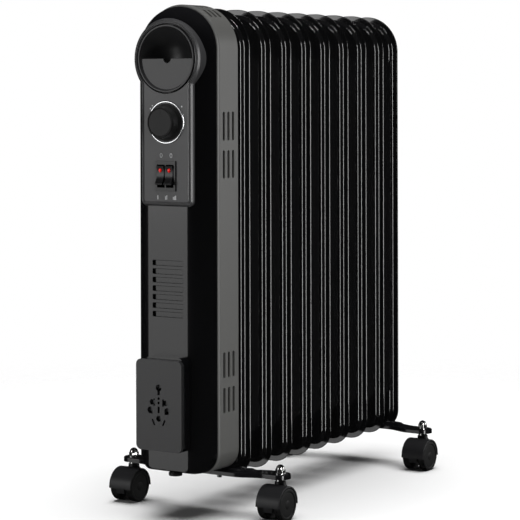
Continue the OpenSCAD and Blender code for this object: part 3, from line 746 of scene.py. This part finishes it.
panel = {
    "bezel": 0.050,
    "half": 0.039,
    "corner": 0.008,
    "fillet": 0.007,
    "plate": 0.0026,
    "hole": 0.0434,
    # distance in from the edge, and back from the front: a bevel, then two fine grooves
    "rim": ((0.0, 0.0034), (0.0002, 0.0029), (0.0005, 0.0025), (0.0021, 0.0004), (0.0024, 0.0002),
            (0.0027, 0.0002), (0.0029, 0.0004), (0.0031, 0.0010), (0.0036, 0.0010), (0.0038, 0.0003),
            (0.0040, 0.0), (0.0044, 0.0), (0.0046, 0.0003), (0.0048, 0.0013), (0.0055, 0.0013),
            (0.0057, 0.0003), (0.0060, 0.0)),
}


def keyhole(inset):
    # round bezel above, straight panel below, joined by a hollow curve on each side
    low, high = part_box("control_panel")
    ringRadius = panel["bezel"]
    centre = high.z - ringRadius
    half = panel["half"]
    blend = panel["fillet"]
    corner = panel["corner"]
    hollowX = half + blend
    hollowZ = centre - math.sqrt((ringRadius + blend) ** 2 - hollowX ** 2)
    lean = math.degrees(math.atan2(hollowZ - centre, hollowX))
    right = [(0.0, low.z + inset), ((half - corner) * 0.5, low.z + inset)]
    right += arc(half - corner, low.z + corner, corner - inset, -90, 0, 8)
    right += [(half - inset, low.z + corner + (hollowZ - low.z - corner) * share) for share in (0.25, 0.5, 0.75)]
    right += arc(hollowX, hollowZ, blend + inset, 180, 180 + lean, 8)
    right += arc(0.0, centre, ringRadius - inset, lean, 90, 40)[1:]
    return right + [(-x, z) for x, z in reversed(right[1:-1])]


def coverRings(wall, frontWall):
    low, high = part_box("front_cover")
    halfWidth = high.x - cover["step"] - wall
    top = high.z - cover["step"] - wall
    reach = halfWidth - cover["flatHalf"] + wall * 0.5
    depth = high.y - low.y - frontWall
    last = math.radians(cover["crease"])
    levels = [i / 12 for i in range(1, 12)]
    rings = []
    for i in range(cover["sections"] + 1):
        turn = last * i / cover["sections"]
        inset = reach * (1 - math.cos(turn)) / (1 - math.cos(last))
        rise = cover["bottomRound"] * (1 - math.cos(turn)) / (1 - math.cos(last))
        y = high.y - depth * math.sin(turn) / math.sin(last)
        half = halfWidth - inset
        radius = max(cover["lowRadius"] - wall - inset, 0.005)
        outline = roundedOutline(half, low.z + wall + rise, top - inset, radius, half, levels, 12, 48)
        rings.append(standing(outline, y))
    inset += 0.0006
    outline = roundedOutline(half - 0.0006, low.z + wall + rise + 0.0006, top - inset, radius, half - 0.0006,
                             levels, 12, 48)
    rings.append(standing(outline, y))
    return rings


def louvreCutter():
    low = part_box("front_cover")[0]
    half = cover["louvreHalf"]
    tall = cover["louvreHeight"]
    mouth = cover["louvreMouth"]
    rings = []
    for grow_, y in ((mouth * 3, -mouth * 2), (mouth, 0.0), (0.0, mouth), (0.0, cover["louvreDepth"])):
        outline = roundedOutline(half + grow_, -tall - grow_, tall + grow_, 0.0009 + grow_, 0.0009 + grow_,
                                 [0.5], 3, 3)
        rings.append([Vector((x, low.y + y, z + cover["louvreLow"])) for x, z in outline])
    cutter = rawObject("louvre_cutter", [loft(rings, True, True)], finishes["gloss_black"])
    grow(cutter, "row", {"Count": cover["louvres"], "Step": (0, 0, cover["louvrePitch"]),
                         "Finish": finishes["gloss_black"]})
    return cutter


def makeCover():
    low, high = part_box("front_cover")
    rings = list(reversed(coverRings(cover["wall"], cover["frontWall"]))) + coverRings(0.0, 0.0)
    made = rawObject("front_cover_moulding", [loft(rings, True, True)], finishes["gloss_black"])
    opening = prism(keyhole(0.0008), low.y - 0.004, high.y - 0.004)
    cut(made, rawObject("panel_cutter", [opening], finishes["gloss_black"]))
    cut(made, louvreCutter())
    finishPiece(made, "body", ["front_cover"], angle=28)


makeCover()
print("front cover made")


# ---------------------------------------------------------------- shroud

shroud = {
    "chamfer": 0.0027,
    "lowRadius": 0.026,
    "wall": 0.0020,
    "slotWidth": 0.0050,
    "slotPitch": 0.0105,
    "slotRows": 3,
    "slots": ((0.132, 0.0315), (0.1755, 0.032), (0.423, 0.035), (0.470, 0.036)),   # lower end and height
    "archSlots": 4,
    "archFirst": -36,
    "archStep": 24,
    "archHalf": 0.0080,
    "rearHem": 0.0008,
}


def slotBlock(halfX, halfZ, y):
    half = shroud["slotWidth"] / 2
    outline = roundedOutline(half, -halfZ, halfZ, half * 0.8, half * 0.8, [0.5], 4, 4)
    front = [Vector((-halfX, y + a, b)) for a, b in outline]
    back = [Vector((halfX, y + a, b)) for a, b in outline]
    return loft([front, back], True, True)


def makeShroud():
    low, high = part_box("shroud")
    levels = [i / 12 for i in range(1, 12)]

    def ring(inset, y):
        half = high.x - inset
        return standing(roundedOutline(half, low.z + inset, high.z - inset, shroud["lowRadius"] - inset, half,
                                       levels, 12, 56), y)

    wall = shroud["wall"]
    chamfer = shroud["chamfer"]
    rings = [ring(wall, high.y), ring(wall, low.y + chamfer), ring(chamfer + 0.0004, low.y + 0.0008)]
    for i in range(6):
        # the front edge is a slightly rounded chamfer
        share = i / 5
        bow = 0.0004 * math.sin(math.pi * share)
        rings.append(ring(chamfer * (1 - share) - bow * 0.7, low.y + chamfer * share - bow * 0.7))
    rings += [ring(0.0, low.y + chamfer + 0.0006), ring(0.0, high.y - shroud["rearHem"]),
              ring(shroud["rearHem"] * 0.4, high.y)]
    made = rawObject("shroud_sheet", [loft(rings, joinEnds=True)], finishes["satin_grey"])

    middle = (low.y + high.y) / 2
    pitch = shroud["slotPitch"]
    for bottom, tall in shroud["slots"]:
        block = slotBlock(high.x + 0.01, tall / 2, middle - pitch)
        up = Matrix.Translation((0, 0, bottom + tall / 2))
        cutter = rawObject("slot_cutter", [placed(block, up)], finishes["satin_grey"])
        grow(cutter, "row", {"Count": shroud["slotRows"], "Step": (0, pitch, 0), "Finish": finishes["satin_grey"]})
        cut(made, cutter)
    for i in range(shroud["slotRows"]):
        half = shroud["archHalf"]
        width = shroud["slotWidth"] / 2
        y = middle + (i - 1) * pitch
        outline = roundedOutline(half, y - width, y + width, width * 0.8, width * 0.8, [0.5], 4, 4)
        block = loft([lying(outline, -0.005), lying(outline, 0.005)], True, True)
        cutter = rawObject("arch_cutter", [block], finishes["satin_grey"])
        grow(cutter, "arch", {"Count": shroud["archSlots"], "First Angle": math.radians(shroud["archFirst"]),
                              "Angle Step": math.radians(shroud["archStep"]), "Radius": high.x,
                              "Centre": (0, 0, high.z - high.x), "Finish": finishes["satin_grey"]})
        cut(made, cutter)
    finishPiece(made, "body", ["shroud"], angle=28)


makeShroud()
print("shroud made")


# ---------------------------------------------------------------- control panel

def circle(x, z, radius, steps=96):
    return arc(x, z, radius, 0, 360, steps)[:-1]


def makePanel():
    low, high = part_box("control_panel")
    front = low.y
    centre = high.z - panel["bezel"]
    frameLow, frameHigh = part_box("switch_frame")
    border = 0.0020
    opening = [(frameLow.x + border, frameLow.z + border), (frameHigh.x - border, frameLow.z + border),
               (frameHigh.x - border, frameHigh.z - border), (frameLow.x + border, frameHigh.z - border)]
    hole = circle(0.0, centre, panel["hole"])
    rings = [standing(keyhole(panel["plate"]), front + panel["plate"]),
             standing(keyhole(panel["plate"]), high.y), standing(keyhole(0.0), high.y)]
    rings += [standing(keyhole(inset), front + y) for inset, y in panel["rim"]]
    face = keyhole(panel["rim"][-1][0])
    soft = 0.0005
    holeRings = [standing(circle(0.0, centre, panel["hole"] + soft), front),
                 standing(circle(0.0, centre, panel["hole"] + soft * 0.3), front + soft * 0.3),
                 standing(hole, front + soft), standing(hole, front + panel["plate"])]
    parts = [
        loft(rings),
        flatFace(face, [circle(0.0, centre, panel["hole"] + soft), opening], front),
        flatFace(keyhole(panel["plate"]), [hole, opening], front + panel["plate"]),
        loft(holeRings),
        loft([standing(opening, front), standing(opening, front + panel["plate"])]),
    ]
    made = rawObject("control_panel_moulding", parts, finishes["panel_black"])
    finishPiece(made, "body", ["control_panel"], angle=30)


makePanel()
print("control panel made")


# ---------------------------------------------------------------- carry pocket

pocket = {
    "bowl": 0.044,
    "bowlBack": 0.0195,      # centre of the bowl's sphere, in front of the panel
    "wall": 0.0024,
    "lipIn": 0.0395,
    "lipOut": 0.0422,
    "lipProud": 0.0010,
    "floor": 0.0060,         # floor of the dark groove round the lip
    "plateFront": 0.0022,
    "plateThick": 0.0022,
    "plateRadius": 0.0391,
    "notch": 0.0055,
}


def makePocket():
    panelLow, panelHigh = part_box("control_panel")
    front = panelLow.y
    centre = panelHigh.z - panel["bezel"]
    ball = pocket["bowl"]
    back = pocket["bowlBack"]
    lipIn = pocket["lipIn"]
    lipOut = pocket["lipOut"]
    proud = pocket["lipProud"]

    def sphere(radius, reach, steps):
        return [(reach * i / steps, math.sqrt(radius ** 2 - (reach * i / steps) ** 2) - back)
                for i in range(steps + 1)]

    profile = sphere(ball, lipIn - 0.0004, 24)
    profile += [(lipIn, -proud * 0.4), (lipIn + 0.0003, -proud * 0.85), (lipIn + 0.0008, -proud),
                (lipOut - 0.0008, -proud), (lipOut - 0.0003, -proud * 0.85), (lipOut, -proud * 0.4),
                (lipOut, pocket["floor"]), (panel["hole"] - 0.0001, pocket["floor"]),
                (panel["hole"] - 0.0001, pocket["floor"] + 0.002), (lipOut - 0.001, pocket["floor"] + 0.003)]
    profile += list(reversed(sphere(ball + pocket["wall"], lipIn - 0.002, 16)))
    profile = [(r, front + y) for r, y in profile]
    bowl = lathe(profile, "y", (0, 0, centre), 96)

    radius = pocket["plateRadius"]
    notch = pocket["notch"]
    outline = arc(0.0, centre, radius, 180, 360, 64) + arc(0.0, centre, notch, 360, 180, 20)
    plateY = front + pocket["plateFront"]
    plate = rawObject("pocket_plate", [prism(outline, plateY, plateY + pocket["plateThick"])],
                      finishes["panel_black"])
    roundEdges(plate, 0.0004, 2)
    finishPiece(plate, "body")

    made = rawObject("carry_pocket_bowl", [bowl], finishes["panel_black"])
    finishPiece(made, "body", ["handle_pocket"], angle=40)


makePocket()
refined("handle_screw", "body", "chrome_steel", 0.0004)
print("carry pocket made")


# ---------------------------------------------------------------- knob and its ring

knob = {"face": 0.0192, "dish": 0.0172, "dishDepth": 0.0004, "round": 0.0010, "steps": 96}


def makeKnob():
    low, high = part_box("thermostat_knob")
    centre = (0, 0, (low.z + high.z) / 2)
    base = high.x
    front = low.y
    rear = high.y
    dish = knob["dish"]
    sunk = knob["dishDepth"]
    face = knob["face"]
    profile = [(0.0, front + sunk), (dish - 0.0006, front + sunk), (dish - 0.0002, front + sunk * 1.8),
               (dish + 0.0002, front + sunk * 0.8), (dish + 0.0006, front), (face - knob["round"], front)]
    for i in range(1, 5):
        turn = math.radians(22.5 * i)
        profile.append((face - knob["round"] * (1 - math.sin(turn)), front + knob["round"] * (1 - math.cos(turn))))
    profile += [(face + 0.0003, front + 0.005), (base - 0.0032, rear - 0.0028), (base - 0.0026, rear - 0.0020),
                (base - 0.0006, rear - 0.0016), (base, rear - 0.0010), (base, rear), (0.0, rear)]
    made = rawObject("thermostat_knob_moulding", [lathe(profile, "y", centre, knob["steps"])],
                     finishes["knob_black"])
    finishPiece(made, "knob", ["thermostat_knob"], angle=34)

    # a fine raised line that points outwards from the knob's face
    outline = roundedOutline(0.0006, centre[2] + 0.0105, centre[2] + 0.0150, 0.0005, 0.0005, [0.5], 4, 4)
    line = rawObject("knob_pointer", [prism(outline, front + 0.0001, front + 0.0012)], finishes["knob_black"])
    finishPiece(line, "knob")


def makeRing():
    low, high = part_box("knob_ring")
    centre = (0, 0, (low.z + high.z) / 2)
    outer = high.x
    inner = 0.0242
    profile = []
    for i in range(13):
        turn = math.pi * i / 12
        profile.append(((outer + inner) / 2 + (outer - inner) / 2 * math.cos(turn),
                        high.y - (high.y - low.y) * math.sin(turn)))
    made = rawObject("knob_ring_plated", [lathe(profile, "y", centre, 96, True)], finishes["ring_silver"])
    finishPiece(made, "body", ["knob_ring"])


makeKnob()
makeRing()
print("knob made")


# ---------------------------------------------------------------- switches and printed marks

refined("switch_frame", "body", "switch_black", 0.0005)
refined("rocker_left", "left_rocker", "switch_black", 0.0005)
refined("rocker_right", "right_rocker", "switch_black", 0.0005)

lens = {"tilt": -9, "dome": 0.0011, "tail": 1.5}


def makeLens(node, body):
    # a domed cap drawn out to a point below
    low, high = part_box(node)
    centre = Vector(((low.x + high.x) / 2, (low.y + high.y) / 2, (low.z + high.z) / 2))
    radius = (high.x - low.x) / 2
    half = (high.y - low.y) / 2
    profile = [(0.0, half)]
    profile += [(radius, half), (radius, -half + 0.0006)]
    for i in range(1, 7):
        turn = math.radians(15 * i)
        profile.append((radius * math.cos(turn), -half + 0.0006 - lens["dome"] * math.sin(turn)))
    points, faces = lathe(profile, "y", (0, 0, 0), 32)
    shaped = []
    for point in points:
        stretch = 1 + (lens["tail"] - 1) * max(-point.z / radius, 0)
        pinch = 1 - 0.45 * max(-point.z / radius, 0) ** 2
        shaped.append(Vector((point.x * pinch, point.y, point.z * stretch)))
    turned = Matrix.Translation(centre) @ Matrix.Rotation(math.radians(lens["tilt"]), 4, "X")
    made = rawObject(node + "_cap", [placed((shaped, faces), turned)], finishes["lens_red"])
    finishPiece(made, body, [node])


makeLens("lens_left", "left_rocker")
makeLens("lens_right", "right_rocker")

marks = {
    "thick": 0.00012,
    "zeroX": 0.0074,
    "zeroZ": 0.452,
    "zeroWide": 0.0020,
    "zeroTall": 0.0028,
    "stroke": 0.0007,
    "barZ": 0.3975,
    "barTall": 0.0052,
    "barWide": 0.0011,
    "barStep": 0.0019,
    "groupX": 0.0125,
    "dot": 0.0009,
}


def makeMarks():
    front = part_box("control_panel")[0].y
    y0 = front - marks["thick"]
    y1 = front + 0.0002
    parts = []
    for side in (-1, 1):
        # a plain zero over each switch
        outer = [(side * marks["zeroX"] + marks["zeroWide"] * math.cos(t), marks["zeroZ"] + marks["zeroTall"] * math.sin(t))
                 for t in [2 * math.pi * i / 32 for i in range(32)]]
        inner = offsetLoop(outer, marks["stroke"])
        parts.append(loft([standing(outer, y1), standing(outer, y0), standing(inner, y0), standing(inner, y1)],
                          joinEnds=True))
    for group, bars in ((-1, 1), (0, 2), (1, 3)):
        # one, two and three bars for the power steps
        for bar in range(bars):
            x = group * marks["groupX"] + (bar - (bars - 1) / 2) * marks["barStep"]
            tall = marks["barTall"] * (0.55 + 0.45 * (bar + 1) / bars)
            outline = roundedOutline(marks["barWide"] / 2, marks["barZ"], marks["barZ"] + tall, 0.0002, 0.0002,
                                     [0.5], 3, 3)
            parts.append(prism([(x + a, b) for a, b in outline], y0, y1))
    low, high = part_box("thermostat_knob")
    middle = (low.z + high.z) / 2
    for x, z in ((-0.0235, 0.0170), (-0.0205, 0.0205), (0.0235, 0.0196)):
        parts.append(prism(circle(x, middle + z, marks["dot"], 20), y0, y1))
    made = rawObject("printed_marks", parts, finishes["print"])
    finishPiece(made, "body")


makeMarks()
print("switches and marks made")


# ---------------------------------------------------------------- plug plate and small fittings

refined("wrap_plate", "body", "panel_black", 0.0006)
refined("wrap_neck", "body", "gloss_black", 0.0008)
refined("cord_gland", "body", "switch_black", 0.0006)
print("plug plate made")


# ---------------------------------------------------------------- cross brackets

bracket = {
    "half": 0.013,
    "bowFrom": 0.094,
    "bowTo": 0.058,
    "round": 0.0016,
    "wall": 0.0018,
    "roof": 0.0010,
    "ridgeFrom": 0.043,
    "ridgeTo": 0.080,
    "ridgeHalf": 0.0075,
    "ridgeHigh": 0.0030,
}


def bracketOutline(stemX, bow, direction, middleY):
    # centre line sweeps out between the stems; both ends are half circles
    half = bracket["half"]
    steps = 40

    def centreY(x):
        share = (bracket["bowFrom"] - abs(x)) / (bracket["bowFrom"] - bracket["bowTo"])
        return middleY + direction * bow * smoothStep(share)

    xs = [-stemX + 2 * stemX * i / steps for i in range(steps + 1)]
    lower = [(x, centreY(x) - half) for x in xs]
    upper = [(x, centreY(x) + half) for x in reversed(xs)]
    rightEnd = arc(stemX, centreY(stemX), half, -90, 90, 20)[1:-1]
    leftEnd = arc(-stemX, centreY(stemX), half, 90, 270, 20)[1:-1]
    return lower + rightEnd + upper + leftEnd, centreY


def makeBracket(node, direction):
    low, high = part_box(node)
    half = bracket["half"]
    stemX = high.x - half
    bow = high.y - low.y - 2 * half
    middleY = low.y + half if direction > 0 else high.y - half
    outline, centreY = bracketOutline(stemX, bow, direction, middleY)
    edge = bracket["round"]
    rings = [lying(offsetLoop(outline, bracket["wall"]), high.z - bracket["roof"]),
             lying(offsetLoop(outline, bracket["wall"]), low.z), lying(outline, low.z)]
    for i in range(7):
        turn = math.radians(15 * i)
        rings.append(lying(offsetLoop(outline, edge * (1 - math.cos(turn))), high.z - edge + edge * math.sin(turn)))
    rings.append(lying(offsetLoop(outline, edge + 0.0008), high.z))
    parts = [loft(rings, True, True)]
    for side in (-1, 1):
        # pressed ridge beside the box, sloping down at both ends
        count = 24
        section = []
        for i in range(count + 1):
            share = i / count
            x = side * (bracket["ridgeFrom"] + (bracket["ridgeTo"] - bracket["ridgeFrom"]) * share)
            rise = bracket["ridgeHigh"] * smoothStep(min(share, 1 - share) * 4)
            half = bracket["ridgeHalf"]
            y = centreY(x)
            profile = [(-half, -0.0006), (-half, 0.0001), (-half + 0.0008, rise * 0.55), (-half + 0.0022, rise),
                       (half - 0.0022, rise), (half - 0.0008, rise * 0.55), (half, 0.0001), (half, -0.0006)]
            section.append([Vector((x, y + a, high.z + b)) for a, b in profile])
        parts.append(loft(section, True, True))
    made = rawObject(node + "_pressing", parts, finishes["bracket_black"])
    finishPiece(made, "body", [node], angle=35)


makeBracket("front_bracket", -1)
makeBracket("rear_bracket", 1)
print("brackets made")


# ---------------------------------------------------------------- nuts, washers and stems

fastener = {"hexAcross": 0.0066, "hexHigh": 0.0045, "dome": 0.0055, "washer": 0.0080, "seed": 7}


def stemPlaces():
    low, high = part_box("caster_stems")
    collar = 0.006
    return {"Half Width": high.x - collar, "Front": low.y + collar, "Rear": high.y - collar,
            "Seed": fastener["seed"]}


def hexagon(radius, count=6):
    return [(radius * math.cos(2 * math.pi * i / count), radius * math.sin(2 * math.pi * i / count))
            for i in range(count)]


def makeFasteners():
    low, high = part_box("acorn_nuts")
    across = fastener["hexAcross"]
    tall = fastener["hexHigh"]
    dome = fastener["dome"]
    body = rawObject("acorn_nuts_plated", [loft([lying(hexagon(across), low.z), lying(hexagon(across), low.z + tall)],
                                                True, True)], finishes["chrome_steel"])
    roundEdges(body, 0.0005, 3)
    steps = 10
    profile = [(0.0, low.z + tall - 0.0005), (dome, low.z + tall - 0.0005)]
    profile += [(dome * math.cos(math.radians(90 * i / steps)),
                 low.z + tall + (high.z - low.z - tall) * math.sin(math.radians(90 * i / steps)))
                for i in range(steps + 1)]
    cap = rawObject("acorn_caps", [lathe(profile, "z", (0, 0, 0), 40)], finishes["chrome_steel"])
    grow(body, "corners", {**stemPlaces(), "Finish": finishes["chrome_steel"]})
    grow(cap, "corners", {**stemPlaces(), "Finish": finishes["chrome_steel"]})
    finishPiece(body, "body", ["acorn_nuts"])
    finishPiece(cap, "body")

    low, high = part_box("washers")
    outer = fastener["washer"]
    edge = 0.0002
    profile = [(0.0041, low.z), (outer - edge, low.z), (outer, low.z + edge), (outer, high.z - edge),
               (outer - edge, high.z), (0.0041, high.z)]
    ring = rawObject("washers_plated", [lathe(profile, "z", (0, 0, 0), 48, True)], finishes["chrome_steel"])
    grow(ring, "corners", {**stemPlaces(), "Finish": finishes["chrome_steel"]})
    finishPiece(ring, "body", ["washers"])


makeFasteners()
refined("u_bolt_nuts", "body", "zinc_steel", 0.0004)
print("fasteners made")


# ---------------------------------------------------------------- casters

caster = {
    "round": 0.0008,
    "hoodWall": 0.0020,
    "hoodFrom": -4,          # the roof's ends, in degrees below the axle's level
    "webHalf": 0.0060,
    "webCut": 0.0080,
    "boss": 0.0070,
    "tread": 0.0012,
    "disc": 0.0150,
    "dish": 0.0006,
    "cap": 0.0050,
}


def makeHood(code):
    low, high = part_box("hood_" + code)
    centreX = (low.x + high.x) / 2
    halfX = (high.x - low.x) / 2
    wheelLow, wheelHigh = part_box("wheel_" + code + "_outer")
    axleY = (wheelLow.y + wheelHigh.y) / 2
    axleZ = (wheelLow.z + wheelHigh.z) / 2
    outer = (high.y - low.y) / 2
    inner = outer - caster["hoodWall"]
    edge = caster["round"]
    section = [(-halfX, inner), (-halfX, outer - edge), (-halfX + edge * 0.3, outer - edge * 0.3),
               (-halfX + edge, outer), (0.0, outer + 0.0002), (halfX - edge, outer),
               (halfX - edge * 0.3, outer - edge * 0.3), (halfX, outer - edge), (halfX, inner), (0.0, inner)]
    steps = 48
    rings = []
    for i in range(steps + 1):
        turn = math.radians(caster["hoodFrom"] + (180 - 2 * caster["hoodFrom"]) * i / steps)
        rings.append([Vector((centreX + x, axleY + r * math.cos(turn), axleZ + r * math.sin(turn)))
                      for x, r in section])
    roof = loft(rings, True, True)

    reach = outer - 0.001
    drop = math.degrees(math.asin(caster["webCut"] / reach))
    outline = arc(axleY, axleZ, reach, -drop, 180 + drop, 40)
    half = caster["webHalf"]
    web = loft([[Vector((centreX - half, a, b)) for a, b in outline],
                [Vector((centreX + half, a, b)) for a, b in outline]], True, True)

    stemY = axleY + (axleY - low.y - outer) + 0.009
    boss = caster["boss"]
    profile = [(0.0, high.z), (boss - 0.0008, high.z), (boss - 0.0002, high.z - 0.0002), (boss, high.z - 0.0008),
               (boss + 0.0003, high.z - 0.004), (boss + 0.0020, high.z - 0.0065), (boss + 0.0020, high.z - 0.016),
               (0.0, high.z - 0.016)]
    top = lathe(profile, "z", (centreX, stemY, 0), 40)
    made = rawObject("caster_hood_" + code, [roof, web, top], finishes["caster_black"])
    finishPiece(made, "caster_" + code, ["hood_" + code], angle=36)


def makeWheel(code, place):
    node = "wheel_" + code + "_" + place
    low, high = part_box(node)
    radius = (high.z - low.z) / 2
    width = high.x - low.x
    hoodLow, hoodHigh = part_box("hood_" + code)
    outwards = 1 if (low.x + high.x) > (hoodLow.x + hoodHigh.x) else -1
    innerX = low.x if outwards > 0 else high.x
    edge = caster["tread"]
    disc = caster["disc"]
    dish = caster["dish"]
    cap = caster["cap"]
    profile = [(0.0031, 0.0), (disc, 0.0), (disc + 0.001, 0.0004), (radius - edge, 0.0), (radius - edge * 0.3, edge * 0.3),
               (radius, edge), (radius, width * 0.46), (radius - 0.0003, width * 0.48), (radius - 0.0003, width * 0.52),
               (radius, width * 0.54), (radius, width - edge), (radius - edge * 0.3, width - edge * 0.3),
               (radius - edge, width), (disc + 0.0016, width), (disc + 0.0010, width - dish),
               (disc + 0.0002, width - dish * 1.5), (disc - 0.0008, width - dish), (cap + 0.0012, width - dish),
               (cap + 0.0008, width - dish * 1.3), (cap + 0.0003, width - dish), (cap - 0.0004, width - dish * 0.4),
               (0.0, width - dish * 0.2), (0.0, width - 0.0017), (0.0031, width - 0.0017)]
    profile = [(r, innerX + outwards * a) for r, a in profile]
    centre = (0, (low.y + high.y) / 2, (low.z + high.z) / 2)
    made = rawObject(node + "_moulding", [lathe(profile, "x", centre, 72, True)], finishes["wheel_grey"])
    finishPiece(made, place + "_wheel_" + code, [node], angle=34)


for code in ("fl", "fr", "rl", "rr"):
    makeHood(code)
    makeWheel(code, "inner")
    makeWheel(code, "outer")
print("casters made")


# ---------------------------------------------------------------- floor, world and lights

def makeFloor():
    # pale sweep that fades into the white surround
    size = 6.0
    mesh = bpy.data.meshes.new("floor")
    mesh.from_pydata([(-size, -size, 0), (size, -size, 0), (size, size, 0), (-size, size, 0)], [], [(0, 1, 2, 3)])
    floor = bpy.data.objects.new("floor", mesh)
    scene.collection.objects.link(floor)
    finish, bsdf, place = newFinish("floor_paper", {"Roughness": 0.85})
    tone = noise(place, 3.0)
    blendColour(tone, (0.88, 0.88, 0.88), (0.90, 0.90, 0.90)).into(bsdf.inputs["Base Color"])
    away = place.node("ShaderNodeVectorMath", {"operation": "LENGTH"}, {0: place}, 1)
    fade = away.node("ShaderNodeMapRange", {"interpolation_type": "SMOOTHSTEP"},
                     {"Value": away, "From Min": 0.55, "From Max": 1.3})
    clear = place.node("ShaderNodeBsdfTransparent")
    paper = Wire(finish.node_tree, bsdf.outputs[0])
    mixed = place.node("ShaderNodeMixShader", None, {0: fade, 1: paper, 2: clear})
    mixed.into(finish.node_tree.nodes["Material Output"].inputs["Surface"])
    mesh.materials.append(finish)
    floor.visible_glossy = False


def makeWorld():
    world = bpy.data.worlds.new("studio")
    scene.world = world
    world.use_nodes = True
    tree = world.node_tree
    back = tree.nodes["Background"]
    back.inputs["Color"].default_value = (0.006, 0.006, 0.006, 1)
    ways = tree.nodes.new("ShaderNodeLightPath")
    white = tree.nodes.new("ShaderNodeBackground")
    white.inputs["Color"].default_value = (1, 1, 1, 1)
    choice = tree.nodes.new("ShaderNodeMixShader")
    tree.links.new(ways.outputs["Is Camera Ray"], choice.inputs[0])
    tree.links.new(back.outputs[0], choice.inputs[1])
    tree.links.new(white.outputs[0], choice.inputs[2])
    tree.links.new(choice.outputs[0], tree.nodes["World Output"].inputs["Surface"])


softboxes = {
    # brightness is the radiance of the box's face
    "front_left_high": {"place": (-1.55, -2.45, 0.85), "aim": (0, -0.25, 0.50), "size": (1.15, 1.10), "bright": 2.7},
    "front_left_low": {"place": (-1.45, -2.40, -0.15), "aim": (0, -0.25, 0.15), "size": (1.10, 0.95), "bright": 1.3},
    "overhead": {"place": (0.1, 0.0, 2.4), "aim": (0, 0, 0.0), "size": (2.6, 2.6), "bright": 5.4, "mirrored": False},
    "edge_strip": {"place": (2.35, -1.55, 0.55), "aim": (0, 0, 0.35), "size": (0.55, 2.2), "bright": 16,
                   "only": ("fins_with_wings", "end_fin", "shroud_sheet", "control_panel_moulding",
                            "knob_ring_plated", "acorn_nuts_plated", "acorn_caps", "washers_plated",
                            "front_bracket_pressing", "rear_bracket_pressing")},
    "arc_strip": {"place": (0.42, -1.20, 2.2), "aim": (0, 0, 0.6), "size": (0.9, 0.16), "bright": 26,
                  "only": ("fins_with_wings", "end_fin")},
    "side_sheen": {"place": (2.1, 1.9, 0.75), "aim": (0, -0.1, 0.35), "size": (1.6, 1.5), "bright": 2.6,
                   "only": ("shroud_sheet", "caster", "wheel", "acorn", "knob_ring_plated")},
}


def makeLights():
    for name, box in softboxes.items():
        data = bpy.data.lights.new(name, "AREA")
        data.shape = "RECTANGLE"
        data.size, data.size_y = box["size"]
        data.energy = box["bright"] * math.pi * data.size * data.size_y
        lamp = bpy.data.objects.new(name, data)
        lamp.location = box["place"]
        lamp.rotation_euler = (Vector(box["aim"]) - Vector(box["place"])).to_track_quat("-Z", "Y").to_euler()
        lamp.visible_glossy = box.get("mirrored", True)
        scene.collection.objects.link(lamp)
        if "only" in box:
            # a flagged light: it falls on these pieces and on nothing else
            lit = bpy.data.collections.new(name + "_lights")
            for made in scene.objects:
                if made.type == "MESH" and made.name.startswith(box["only"]):
                    lit.objects.link(made)
            lamp.light_linking.receiver_collection = lit


makeFloor()
makeWorld()
makeLights()
scene.view_settings.view_transform = "Standard"
scene.view_settings.look = "None"
print("studio made")

bpy.context.view_layer.update()
